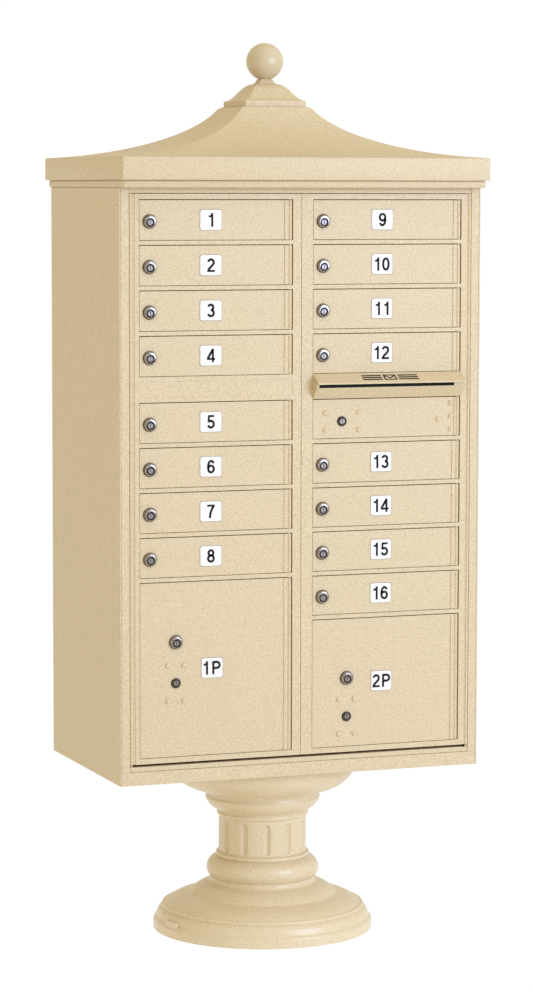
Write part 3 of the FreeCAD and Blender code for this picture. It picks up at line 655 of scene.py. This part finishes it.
def pivot_barrel(body, side, door_edge):
    """Rolled barrel along the whole outer edge of a master door, on its pivot line."""
    low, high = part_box(body)
    x, y, _ = JOINTS[body]["pos_m"]
    name = "left" if side < 0 else "right"
    chamfer = 0.6 * MM
    profile = rod_profile(PIVOT_R, PIVOT_R - chamfer, chamfer, high.z - low.z)
    barrel = turned(f"{name}_pivot_barrel", profile, (x, y, low.z), "z", 24)
    a, b = sorted((x, door_edge))
    tongue = block("tongue", (a, y - 1 * MM, low.z + chamfer), (b, y + 2 * MM, high.z - chamfer))
    barrel = joined(f"{name}_pivot_barrel", [barrel, tongue])
    smooth(barrel)
    coat(barrel, body)


def master_frame(body, doors, door_x, *bands):
    """The door's frame: one plate with an opening per leaf, rounded edges and a stepped outer stile."""
    low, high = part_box(body)
    x0, x1 = door_x
    back = FRONT + FRAME_DEPTH
    plate = block(f"{body}_frame", (x0, FRONT, low.z), (x1, back, high.z))
    cutters = []
    for door in doors:
        a, b, c, d = opening_of(door)
        cutters.append(block("cutter", (a, FRONT - OVERSHOOT, c), (b, back + OVERSHOOT, d)))
    cutters += bands
    outer = max(door_x, key=abs)
    a, b = sorted((outer * 1.01, outer - math.copysign(STILE_STEP, outer)))
    cutters.append(block("cutter", (a, FRONT - OVERSHOOT, low.z - OVERSHOOT),
                         (b, FRONT + STILE_STEP_DEPTH, high.z + OVERSHOOT)))
    cut(plate, *cutters)
    soften(plate, 0.75 * MM)
    coat(plate, body, body)


def hinge_rod(body, door):
    """Long pin that all the leaves of one master door hang on."""
    low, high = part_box(body)
    x, y, _ = JOINTS[door]["pos_m"]
    radius, end = 2 * MM, 2 * MM
    length = high.z - low.z - 2 * end
    profile = rod_profile(radius, radius * 0.6, radius * 0.5, length)
    rod = turned(f"{body}_hinge_rod", profile, (x, y, low.z + end), "z", 16)
    smooth(rod)
    fit(rod, ZINC, body, "galvanised_steel")


def latch_guide(z, count):
    """Bracket behind the centre stile that the latch bar slides in."""
    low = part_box("master_latch")[0]
    back = FRONT + FRAME_DEPTH
    inner, wall = 4.2 * MM, 2.3 * MM
    x0, x1 = low.x - 0.2 * MM, low.x + 10.2 * MM
    plan = [(x0 - 2.8 * MM, back), (x0, back), (x0, back + inner), (x1, back + inner), (x1, back),
            (x1 + 1.8 * MM, back), (x1 + 1.8 * MM, back + inner + wall), (x0 - 2.8 * MM, back + inner + wall)]
    guide = extruded(f"latch_guide_{count}", [(x, y, z) for x, y in plan], (0, 0, 14 * MM))
    soften(guide, 0.4 * MM)
    fit(guide, ZINC, "right_master_door", "galvanised_steel")


def left_master():
    """Left frame, with the blank panel between its fourth and fifth rows."""
    body = "left_master_door"
    a, b, above, _ = opening_of("door_04")
    z0, z1 = opening_of("door_05")[3] + ROW_RAIL, above - ROW_RAIL
    edge = 0.5 * MM
    pocket = block("cutter", (a, FRONT + SHEET, z0), (b, FRONT + 2 * FRAME_DEPTH, z1))
    field = block("cutter", (a + edge, FRONT - OVERSHOOT, z0 + edge),
                  (b - edge, FRONT + PANEL_SINK, z1 - edge))
    master_frame(body, LEFT_DOORS, (-MASTER_EDGE, LEFT_MEETING), pocket, field)
    hinge_rod(body, "door_01")
    pivot_barrel(body, -1, -MASTER_EDGE)


def right_master():
    """Right frame, with the mail slot and the guides of the latch bar."""
    body = "right_master_door"
    low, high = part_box("outgoing_hood")
    slot = block("cutter", (low.x + 2.5 * MM, FRONT - OVERSHOOT, low.z + 3.4 * MM),
                 (high.x - 2.5 * MM, FRONT + 2 * FRAME_DEPTH, high.z - 3.4 * MM))
    master_frame(body, RIGHT_DOORS, (RIGHT_MEETING, MASTER_EDGE), slot)
    hinge_rod(body, "door_09")
    pivot_barrel(body, 1, MASTER_EDGE)
    for count, z in enumerate(LATCH_GUIDES, 1):
        latch_guide(z, count)


left_master()
right_master()


# ---- mail hood
HOOD_DROP = 17.5 * MM       # fall of the top plate from the frame to its lip


def hood_piece(name, outline, x, width, rounding, *nodes, material=COAT):
    """A (y, z) outline pushed along X, rounded and coated."""
    piece = extruded(name, [(x, y, z) for y, z in outline], (width, 0, 0))
    soften(piece, rounding)
    fit(piece, material, "right_master_door", "powder_coat_aluminium", *nodes)


def hood():
    """Sloped hood over the mail slot: top plate with a turned lip, lower lip, cheeks, slot ends and a black
    sheet of painted shade.
    """
    low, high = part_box("outgoing_hood")
    lip, lip_z = low.y, high.z - HOOD_DROP
    slot_y, slot_z = lip + 8 * MM, lip_z - 10 * MM
    wall, fold = 2.5 * MM, 3.4 * MM
    x0, x1 = low.x + 0.2 * MM, high.x - 0.2 * MM

    top = [(FRONT, high.z), (lip + 0.8 * MM, lip_z + 0.4 * MM), (lip, lip_z - 0.6 * MM),
           (lip, lip_z - 3.2 * MM), (lip + 1.2 * MM, lip_z - 3.2 * MM), (lip + 2.6 * MM, lip_z - 1.6 * MM),
           (FRONT, high.z - fold)]
    hood_piece("hood_top_plate", top, x0, x1 - x0, 0.5 * MM, "outgoing_hood")

    lower = [(FRONT, low.z), (slot_y, slot_z - 1 * MM), (slot_y, slot_z), (slot_y + 2 * MM, slot_z),
             (FRONT, low.z + fold)]
    hood_piece("hood_lower_lip", lower, x0, x1 - x0, 0.5 * MM)

    cheek = [(FRONT, high.z - fold), (slot_y, slot_z + 8 * MM), (slot_y, slot_z), (FRONT, low.z + fold)]
    for name, x in (("left", x0), ("right", x1 - wall)):
        hood_piece(f"hood_{name}_cheek", cheek, x, wall, 0.4 * MM)

    end = [(slot_y, slot_z), (slot_y, slot_z + 7.4 * MM), (slot_y + 3 * MM, slot_z + 8.4 * MM),
           (slot_y + 3 * MM, slot_z)]
    for name, x, width in (("left", x0 + wall, 3 * MM), ("right", x1 - wall - 22 * MM, 22 * MM)):
        hood_piece(f"hood_{name}_slot_end", end, x, width, 0.5 * MM)

    # A near-black sheet behind the slot: painted shade inside the opening.
    flap = [(FRONT - 1 * MM, high.z - 4.2 * MM), (slot_y + 3.4 * MM, slot_z + 9.2 * MM),
            (slot_y + 3.4 * MM, slot_z - 2 * MM), (slot_y + 5 * MM, slot_z - 2 * MM),
            (slot_y + 5 * MM, slot_z + 7.5 * MM), (FRONT - 1 * MM, high.z - 6 * MM)]
    hood_piece("hood_slot_shade_sheet", flap, x0 + wall, x1 - x0 - 2 * wall, 0.2 * MM, material=SLOT_SHADE)


def envelope_sign():
    """Generic printed sign on the hood: an envelope between wide bars."""
    low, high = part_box("outgoing_hood")
    tilt = math.atan2(HOOD_DROP, FRONT - low.y)
    length, width, stroke = 27 * MM, 18 * MM, 3 * MM

    envelope = block("envelope", (-length / 2, -width / 2, 0), (length / 2, width / 2, PRINT))
    inner = block("cutter", (-length / 2 + stroke, -width / 2 + stroke, -MM),
                  (length / 2 - stroke, width / 2 - stroke, MM))
    cut(envelope, inner)
    reach, dip = length / 2 - stroke / 2, 0.5 * MM
    top = width / 2 - stroke / 2
    flap = [(-reach, top), (0, -dip), (reach, top), (reach, top - 1.2 * stroke), (0, -dip - 1.2 * stroke),
            (-reach, top - 1.2 * stroke)]
    fold = extruded("flap", [(x, y, 0) for x, y in flap], (0, 0, PRINT))
    bars = []
    for sign in (-1, 1):
        a, b = sorted((sign * 18 * MM, sign * 61 * MM))
        for level in (-6.8, 0, 6.8):
            bars.append(block("bar", (a, (level - 1.9) * MM, 0), (b, (level + 1.9) * MM, PRINT)))
    sign_piece = joined("hood_envelope_sign", [envelope, fold, *bars])
    middle = Vector((183 * MM, (FRONT + low.y) / 2, high.z - HOOD_DROP / 2))
    lift = Vector((0, -math.sin(tilt), math.cos(tilt))) * 0.06 * MM
    sign_piece.rotation_euler.x = tilt
    sign_piece.location = middle + lift
    named("hood_envelope_sign")
    fit(sign_piece, INK, "right_master_door")


hood()
envelope_sign()


# ---- leaves
def lock_axis(lock):
    return Vector(JOINTS[lock]["pos_m"])


def leaf(door, locks, strip=STRIP_WIDTH):
    """Leaf with its hinge strip, groove and rolled barrel, bored for its locks."""
    low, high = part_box(door)
    hinge_x, hinge_y, _ = JOINTS[door]["pos_m"]
    face = FRONT + LEAF_SET_BACK
    back = FRONT + SHEET
    strip_end = hinge_x - BARREL_R - GROOVE
    strip_start = strip_end - strip
    proud = FRONT - 0.4 * MM
    neck = hinge_x - BARREL_R * 0.8
    turns = 16
    barrel = []
    first, sweep = math.radians(-150), math.radians(300)
    for i in range(turns + 1):
        angle = first + sweep * i / turns
        barrel.append((hinge_x + BARREL_R * math.cos(angle), hinge_y + BARREL_R * math.sin(angle)))
    plan = [(low.x, face), (strip_start, face), (strip_start + 0.3 * MM, proud),
            (strip_end - 0.2 * MM, proud), (strip_end, face), (neck - 0.2 * MM, face)]
    plan += barrel + [(neck, back), (low.x, back)]
    piece = extruded(f"{door}_leaf", [(x, y, low.z) for x, y in plan], (0, 0, high.z - low.z - LEAF_TOP_GAP))
    depth = 20 * MM
    bores = []
    for lock, radius, lift in locks:
        centre = lock_axis(lock) + Vector((0, 0, lift))
        centre.y = FRONT + depth / 2
        bores.append(turned("cutter", [(0, 0), (radius, 0), (radius, depth), (0, depth)], centre, "y", 28))
    cut(piece, *bores)
    soften(piece, 0.45 * MM)
    return piece


def recess_depth(proud):
    return min(2.6 * MM, proud * 0.6)


def bezel(name, lock, radius, proud, lift, recess_r):
    """Plated bezel with an eccentric recess round the plug, and the barrel behind it."""
    axis = lock_axis(lock)
    face = FRONT + LEAF_SET_BACK
    centre = Vector((axis.x, face, axis.z + lift))
    height = proud + LEAF_SET_BACK
    barrel_r = radius - 3 * MM if radius > 10 * MM else radius - 1 * MM
    back = BARREL_BACK - LEAF_SET_BACK
    crown = [(radius * (0.72 + 0.28 * math.sin(t)), height * (0.35 + 0.65 * math.cos(t))) for t in quarter(6)]
    profile = [(0, height)] + crown + [(radius, 0), (barrel_r, 0), (barrel_r, -back), (0, -back)]
    body = turned(name, profile, centre, "y", 40)
    depth = recess_depth(proud)
    plug_hole = PLUG_R + 0.15 * MM
    tool = [(0, 2 * MM), (recess_r + 0.8 * MM, 2 * MM), (recess_r + 0.8 * MM, 0), (recess_r, -0.8 * MM),
            (recess_r, -depth), (plug_hole, -depth), (plug_hole, -40 * MM), (0, -40 * MM)]
    cut(body, turned("cutter", tool, (axis.x, face - height, axis.z), "y", 40))
    smooth(body, 35)
    return body


def collar(name, centre, inner, outer, thick):
    """Flat ring that faces the front."""
    profile = [(inner, 0), (outer, 0), (outer, thick), (inner, thick), (inner, 0)]
    washer = turned(name, profile, centre, "y", 40)
    smooth(washer, 35)
    return washer


def dust_seal(name, lock, proud, recess_r):
    """Near-black ring at the bottom of the recess, round the plug: painted shade in the recess."""
    axis = lock_axis(lock)
    floor = FRONT - proud + recess_depth(proud)
    return collar(name, (axis.x, floor, axis.z), PLUG_R + 0.2 * MM, recess_r - 0.1 * MM, 0.4 * MM)


def gasket(name, lock, radius, lift):
    """Near-black ring that shows as a thin dark line round the bezel: painted shade at the bezel's edge."""
    axis = lock_axis(lock)
    centre = (axis.x, FRONT + LEAF_SET_BACK, axis.z + lift)
    return collar(name, centre, radius - 2 * MM, radius + 0.7 * MM, 0.9 * MM)


def lock_nut(name, lock, radius, lift):
    """Six-sided nut behind the leaf."""
    axis = lock_axis(lock)
    y0, thick = FRONT + SHEET, 5 * MM
    corner = radius * 2 / math.sqrt(3)
    points = []
    for i in range(6):
        angle = math.radians(60 * i)
        points.append((axis.x + corner * math.cos(angle), y0, axis.z + lift + corner * math.sin(angle)))
    nut = extruded(name, points, (0, thick, 0))
    soften(nut, 0.6 * MM)
    return nut


def plug(name, lock):
    """Turning plug with a chamfered face, a raised rim and a key slot."""
    axis = lock_axis(lock)
    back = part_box(lock)[1].y - SCREW_HEIGHT - CAM_SHEET
    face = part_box(lock)[0].y
    start = Vector((axis.x, face, axis.z))
    radius = PLUG_R - 0.1 * MM
    profile = [(0, -0.5 * MM), (radius * 0.66, -0.5 * MM), (radius * 0.74, 0), (radius * 0.88, 0),
               (radius, -0.7 * MM), (radius, face - back), (0, face - back)]
    piece = turned(name, profile, start, "y", 32)
    slot = block("cutter", (axis.x - 0.8 * MM, face - MM, axis.z - 3.8 * MM),
                 (axis.x + 0.8 * MM, face + 4 * MM, axis.z + 3.8 * MM))
    cut(piece, slot)
    smooth(piece, 35)
    return piece


def cam(name, lock):
    """Flat cam behind the leaf, with a round end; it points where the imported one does."""
    axis = lock_axis(lock)
    low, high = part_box(lock)
    reaches = {0: high.x - axis.x, 90: high.z - axis.z, 180: axis.x - low.x, 270: axis.z - low.z}
    toward = max(reaches, key=reaches.get)
    reach = reaches[toward]
    half, hub = 6 * MM, 7 * MM
    outline = []
    for i in range(9):
        angle = math.radians(-90 + 22.5 * i)
        outline.append((reach - half + half * math.cos(angle), half * math.sin(angle)))
    for i in range(9):
        angle = math.radians(70 + 27.5 * i)
        outline.append((hub * math.cos(angle), hub * math.sin(angle)))
    turn = math.radians(toward)
    back = high.y - SCREW_HEIGHT
    points = []
    for u, v in outline:
        points.append((axis.x + u * math.cos(turn) - v * math.sin(turn), back - CAM_SHEET,
                       axis.z + u * math.sin(turn) + v * math.cos(turn)))
    piece = extruded(name, points, (0, CAM_SHEET, 0))
    soften(piece, 0.4 * MM)
    return piece


def cam_screw(name, lock):
    """Pan-head screw that holds the cam on the plug."""
    axis = lock_axis(lock)
    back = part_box(lock)[1].y
    radius = 4 * MM
    dome = [(radius * math.cos(t), -SCREW_HEIGHT * (0.4 + 0.6 * math.sin(t))) for t in quarter(4)]
    dome[-1] = (0, -SCREW_HEIGHT)
    profile = [(0, 0), (radius, 0)] + dome
    screw = turned(name, profile, (axis.x, back - SCREW_HEIGHT, axis.z), "y", 24)
    slot = block("cutter", (axis.x - 3 * MM, back - MM, axis.z - 0.5 * MM),
                 (axis.x + 3 * MM, back + MM, axis.z + 0.5 * MM))
    cut(screw, slot)
    smooth(screw, 35)
    return screw


def number_plate(name, x, z, grow=0.0, thick=PLATE.y):
    """Rounded plate on a leaf's face."""
    face = FRONT + LEAF_SET_BACK
    half = PLATE / 2 + Vector((grow, 0, grow))
    plate = block(name, (x - half.x, face - thick, z - half.z), (x + half.x, face, z + half.z))
    pick(plate, "EDGE", lambda e: abs(e.verts[0].co.y - e.verts[1].co.y) > thick / 2)
    bpy.ops.mesh.bevel(offset=PLATE_CORNER, segments=5, affect="EDGES")
    bpy.ops.object.mode_set(mode="OBJECT")
    soften(plate, 0.25 * thick)
    return plate


def adhesive_pad(name, x, z):
    """Pad under a number plate that shows as a thin darker edge round it: painted shade at the plate's edge.
    """
    return number_plate(name, x, z, 0.8 * MM, 0.5 * MM)


def oval(x, y, half_x, half_y, start, end):
    """Points of an oval from one angle to another, in degrees."""
    count = max(6, round(abs(end - start) / 15))
    angles = [math.radians(start + (end - start) * i / count) for i in range(count + 1)]
    return [(x + half_x * math.cos(t), y + half_y * math.sin(t)) for t in angles]


def ring(x, y, half_x, half_y):
    """A whole oval whose two ends stop a hair apart."""
    return oval(x, y, half_x, half_y, 90, 449.9)


def ribbon(path, half=2.4):
    """Outline of a stroke of even width along a smooth path."""
    path = [Vector(point) for point in path]
    sides = ([], [])
    for i, point in enumerate(path):
        run = (path[min(i + 1, len(path) - 1)] - path[max(i - 1, 0)]).normalized()
        across = Vector((-run.y, run.x)) * half
        sides[0].append(point + across)
        sides[1].append(point - across)
    return sides[0] + sides[1][::-1]


def bar(x0, x1, y0, y1):
    return [(x0, y0), (x1, y0), (x1, y1), (x0, y1)]


# Bold upright characters in millimetres, 27 high; each is a list of outlines about its middle.
CHARACTERS = {
    "0": [ribbon(ring(0, 0, 5.95, 11.3))],
    "1": [bar(-0.2, 4.3, -13.5, 13.5),
          [(-5.4, 4.9), (0.2, 4.9), (0.2, 13.5), (-0.7, 10.4), (-2.6, 8.9), (-5.4, 8.3)]],
    "2": [ribbon(oval(0, 5.4, 5.8, 5.9, 172, -32) + [(1.0, -2.4), (-3.4, -6.2), (-5.4, -10.4)]),
          bar(-8.15, 8.15, -13.5, -9.3)],
    "3": [ribbon(oval(-0.2, 5.9, 5.2, 5.4, 165, -90)), ribbon(oval(0, -5.3, 5.95, 6, 90, -165))],
    "4": [bar(1.9, 6.3, -13.5, 13.5), bar(-8.6, 8.6, -8.8, -4.7),
          [(-8.6, -4.9), (-8.6, -3.9), (2.0, 13.5), (4.2, 13.5), (4.2, 7.5), (-3.4, -4.9)]],
    "5": [bar(-5.6, 7.3, 9.4, 13.5), [(-5.9, 13.5), (-1.9, 13.5), (-2.6, 1.4), (-7.2, -1.0)],
          ribbon(oval(-0.1, -4.7, 6, 6.6, 140, -162))],
    "6": [ribbon(ring(0.1, -4.7, 5.9, 6.6)), ribbon(oval(0.4, 0, 6.4, 11.3, 36, 200))],
    "7": [bar(-8, 8, 9.4, 13.5),
          ribbon([(5.8, 10.2), (2.4, 5.4), (-0.4, -1.5), (-1.7, -7.5), (-2.2, -13.5)])],
    "8": [ribbon(ring(0, 6.1, 5, 5.2)), ribbon(ring(0, -5.2, 6, 6.1))],
    "9": [ribbon(ring(-0.1, 4.7, 5.9, 6.6)), ribbon(oval(-0.4, 0, 6.4, 11.3, 216, 380))],
    "P": [bar(-7.8, -3.2, -13.5, 13.5),
          ribbon([(-4, 11.3), (1.6, 11.3)] + oval(2, 5.3, 5.9, 6, 85, -85) + [(1.6, -0.7), (-4, -0.7)])],
}
ADVANCE = {sign: 20.9 if sign == "P" else 18.6 for sign in CHARACTERS}
PATTERNS = {}


def character(sign):
    """The character as one flat solid, made once."""
    if sign not in PATTERNS:
        solids = [extruded("stroke", [(x * MM, y * MM, 0) for x, y in outline], (0, 0, PRINT))
                  for outline in CHARACTERS[sign]]
        PATTERNS[sign] = joined(f"character_{sign}", solids)
    return PATTERNS[sign]


def number(name, text, x, z):
    """Bold numerals printed on a plate."""
    digits = []
    at = 0
    for sign in text:
        at += ADVANCE[sign] * MM if digits else 0
        digits.append(copied(character(sign), name, (at, 0, 0)))
    piece = joined(name, digits)
    edges = [corner[0] for corner in piece.bound_box]
    piece.location.x = -(min(edges) + max(edges)) / 2
    piece = named(name)
    piece.rotation_euler.x = math.pi / 2
    piece.location = (x, FRONT + LEAF_SET_BACK - PLATE.y + PRINT * 0.3, z)
    named(name)
    return fit(piece, INK, name.removesuffix("_number"))


def rivet(name, x, z):
    """Painted dome rivet."""
    radius, side, proud = 5 * MM, 1.2 * MM, 3.2 * MM
    dome = [(radius * math.cos(t), side + (proud - side) * math.sin(t)) for t in quarter(6)]
    dome[-1] = (0, proud)
    piece = turned(name, [(0, -0.5 * MM), (radius, -0.5 * MM)] + dome, (x, FRONT + LEAF_SET_BACK, z), "y", 24)
    smooth(piece, 50)
    return piece


# Distances of the rivets in x and z: from a carrier lock's axis, and from the outgoing door's hinge edge.
PARCEL_RIVETS, OUTGOING_RIVETS = (17 * MM, 35.5 * MM), (36 * MM, 17 * MM)
HINGE_RIVETS, STAY_RIVET = (21.5 * MM, 26.5 * MM), (49.5 * MM, 6 * MM)


def around(lock, reach):
    """Four places in a rectangle about a lock."""
    centre = lock_axis(lock)
    return [(centre.x + sx * reach[0], centre.z + sz * reach[1]) for sx in (-1, 1) for sz in (-1, 1)]


def rivets(door, places):
    for count, (x, z) in enumerate(places, 1):
        coat(rivet(f"{door}_rivet_{count}", x, z), door)


def customer_set():
    """Everything of the first customer door, which all sixteen are copied from."""
    first, lock = "door_01", "lock_01"
    low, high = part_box(first)
    middle = (low.z + high.z) / 2
    return {
        "leaf": leaf(first, [(lock, BEZEL_R - 3 * MM, BEZEL_LIFT)]),
        "bezel": bezel("first_bezel", lock, BEZEL_R, BEZEL_PROUD, BEZEL_LIFT, RECESS_R),
        "seal": dust_seal("first_seal", lock, BEZEL_PROUD, RECESS_R),
        "gasket": gasket("first_gasket", lock, BEZEL_R, BEZEL_LIFT),
        "nut": lock_nut("first_nut", lock, BEZEL_R, BEZEL_LIFT),
        "plate": number_plate("first_plate", low.x + PLATE_INSET, middle),
        "pad": adhesive_pad("first_pad", low.x + PLATE_INSET, middle),
        "plug": plug("first_plug", lock),
        "cam": cam("first_cam", lock),
        "screw": cam_screw("first_screw", lock),
    }


# Three of these pieces are painted shade: the dark rings in a lock's recess and round its bezel, and the
# darker pad round the plate.
DOOR_FINISH = {"leaf": (COAT, "powder_coat_aluminium"), "bezel": (CHROME, "lock_chrome"),
               "seal": (LOCK_SHADE_BLACK, None), "gasket": (LOCK_SHADE_BLACK, None), "nut": (ZINC, "galvanised_steel"),
               "plate": (LAMINATE, None), "pad": (PLATE_EDGE_SHADE, None)}
LOCK_FINISH = {"plug": (SATIN, "lock_chrome"), "cam": (ZINC, "galvanised_steel"),
               "screw": (ZINC, "galvanised_steel")}


def customer_doors():
    pattern = customer_set()
    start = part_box("door_01")[0]
    for count, door in enumerate(CUSTOMERS, 1):
        lock = f"lock_{count:02d}"
        low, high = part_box(door)
        shift = Vector((low.x - start.x, 0, low.z - start.z))
        for part, (material, slot) in DOOR_FINISH.items():
            twin = copied(pattern[part], f"{door}_{part}_piece", shift)
            fit(twin, material, door, slot, *([door] if part == "leaf" else []))
        for part, (material, slot) in LOCK_FINISH.items():
            twin = copied(pattern[part], f"{lock}_{part}", shift)
            fit(twin, material, lock, slot, *([lock] if part == "plug" else []))
        number(f"{door}_number", str(count), low.x + PLATE_INSET, (low.z + high.z) / 2)
    for piece in pattern.values():
        bpy.data.objects.remove(piece)


def whole_lock(lock, door, bezel_r, proud, lift, recess_r, material):
    """Bezel with its two dark rings of painted shade, nut, plug, cam and screw of one lock."""
    fit(bezel(f"{lock}_bezel", lock, bezel_r, proud, lift, recess_r), material, door, "lock_chrome")
    fit(dust_seal(f"{lock}_dust_seal", lock, proud, recess_r), LOCK_SHADE_BLACK, door)
    fit(gasket(f"{lock}_gasket", lock, bezel_r, lift), LOCK_SHADE_BLACK, door)
    fit(lock_nut(f"{lock}_nut", lock, bezel_r, lift), ZINC, door, "galvanised_steel")
    fit(plug(f"{lock}_plug", lock), SATIN, lock, "lock_chrome", lock)
    fit(cam(f"{lock}_cam", lock), ZINC, lock, "galvanised_steel")
    fit(cam_screw(f"{lock}_screw", lock), ZINC, lock, "galvanised_steel")


def carrier_lock(lock, door):
    whole_lock(lock, door, CARRIER_R, CARRIER_PROUD, 0, PLUG_R + 0.8 * MM, NICKEL)


def parcel_door(name):
    door, own, carrier = f"parcel_door_{name}", f"parcel_lock_{name}", f"carrier_lock_{name}"
    low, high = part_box(door)
    middle = (low.z + high.z) / 2
    face = leaf(door, [(own, BEZEL_R - 3 * MM, BEZEL_LIFT), (carrier, CARRIER_R - 1 * MM, 0)])
    coat(face, door, door)
    whole_lock(own, door, BEZEL_R, BEZEL_PROUD, BEZEL_LIFT, RECESS_R, CHROME)
    carrier_lock(carrier, door)
    x = low.x + PARCEL_PLATE_INSET
    fit(number_plate(f"{door}_plate", x, middle), LAMINATE, door)
    fit(adhesive_pad(f"{door}_pad", x, middle), PLATE_EDGE_SHADE, door)
    number(f"{door}_number", name.upper(), x, middle)
    rivets(door, around(carrier, PARCEL_RIVETS))


def outgoing_door():
    door, lock = "outgoing_door", "carrier_lock_outgoing"
    low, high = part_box(door)
    middle, edge = (low.z + high.z) / 2, high.x + STILE_GAP
    coat(leaf(door, [(lock, CARRIER_R - 1 * MM, 0)], 3 * MM), door, door)
    carrier_lock(lock, door)
    hinge = [(edge - HINGE_RIVETS[0], middle + step * HINGE_RIVETS[1]) for step in (-1, 0, 1)]
    stay = (edge - STAY_RIVET[0], middle - STAY_RIVET[1])
    rivets(door, around(lock, OUTGOING_RIVETS) + hinge + [stay])


customer_doors()
parcel_door("1p")
parcel_door("2p")
outgoing_door()
for pattern_piece in PATTERNS.values():
    bpy.data.objects.remove(pattern_piece)


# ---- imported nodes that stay
KEPT = {
    "pedestal_post": GALVANISED, "cabinet_bolts": GALVANISED, "centre_divider": MILL, "shelves": MILL,
    "cabinet_top_panel": MILL, "master_door_pivots": COAT, "master_latch": ZINC,
}
for node_name, material in KEPT.items():
    mesh = frame["nodes"][node_name].data
    mesh.materials.clear()
    mesh.materials.append(material)


# ---- studio
BACKDROP_GLOW = 1.02


def studio_floor():
    """Evenly lit white floor without an edge."""
    material = bpy.data.materials.new("lit_studio_floor")
    material.use_nodes = True
    glow = add(material, "ShaderNodeEmission", Color=(1, 1, 1, 1), Strength=BACKDROP_GLOW)
    surface = material.node_tree.nodes["Material Output"].inputs["Surface"]
    material.node_tree.links.new(glow.outputs["Emission"], surface)
    deselect()
    bpy.ops.mesh.primitive_plane_add(size=60, location=(0, 0, -0.5 * MM))
    floor = named("studio_floor")
    floor.data.materials.append(material)


def area_light(name, place, size, power, tint="#FFFFFF"):
    light = bpy.data.lights.new(name, "AREA")
    light.size = size
    light.energy = power
    light.color = colour(tint)[:3]
    lamp = bpy.data.objects.new(name, light)
    bpy.context.scene.collection.objects.link(lamp)
    lamp.location = place
    aim = Vector((0, 0, 1.0)) - Vector(place)
    lamp.rotation_euler = aim.to_track_quat("-Z", "Y").to_euler()


def studio_world():
    """Warm even surround for the object, plain white behind it."""
    world = bpy.data.worlds.new("studio")
    world.use_nodes = True
    surround = world.node_tree.nodes["Background"]
    surround.inputs["Color"].default_value = colour("#EFEAD9")
    surround.inputs["Strength"].default_value = 1.0
    backdrop = add(world, "ShaderNodeBackground", Color=(1, 1, 1, 1), Strength=BACKDROP_GLOW)
    seen = add(world, "ShaderNodeLightPath").outputs["Is Camera Ray"]
    mixed = add(world, "ShaderNodeMixShader", Fac=seen)
    links = world.node_tree.links
    links.new(surround.outputs["Background"], mixed.inputs[1])
    links.new(backdrop.outputs["Background"], mixed.inputs[2])
    links.new(mixed.outputs["Shader"], world.node_tree.nodes["World Output"].inputs["Surface"])
    bpy.context.scene.world = world


def camera():
    """Long lens at eye height, front left of the doors."""
    azimuth, elevation, roll = math.radians(-20.638), math.radians(5.36), math.radians(0.10)
    back = Vector((math.sin(azimuth) * math.cos(elevation), -math.cos(azimuth) * math.cos(elevation),
                   math.sin(elevation)))
    lens = bpy.data.cameras.new("camera")
    lens.lens = 118.45
    lens.clip_end = 200
    eye = bpy.data.objects.new("camera", lens)
    bpy.context.scene.collection.objects.link(eye)
    eye.location = (-2.377, -6.332, 1.541)
    eye.rotation_euler = (Quaternion(back, roll) @ back.to_track_quat("Z", "Y")).to_euler()
    bpy.context.scene.camera = eye


studio_floor()
studio_world()
area_light("key", (2.6, -4.7, 2.1), 2.6, 235, "#B4CEFF")
area_light("top", (0.6, -1.9, 4.6), 2.4, 15)
camera()
bpy.context.scene.view_settings.view_transform = "Standard"
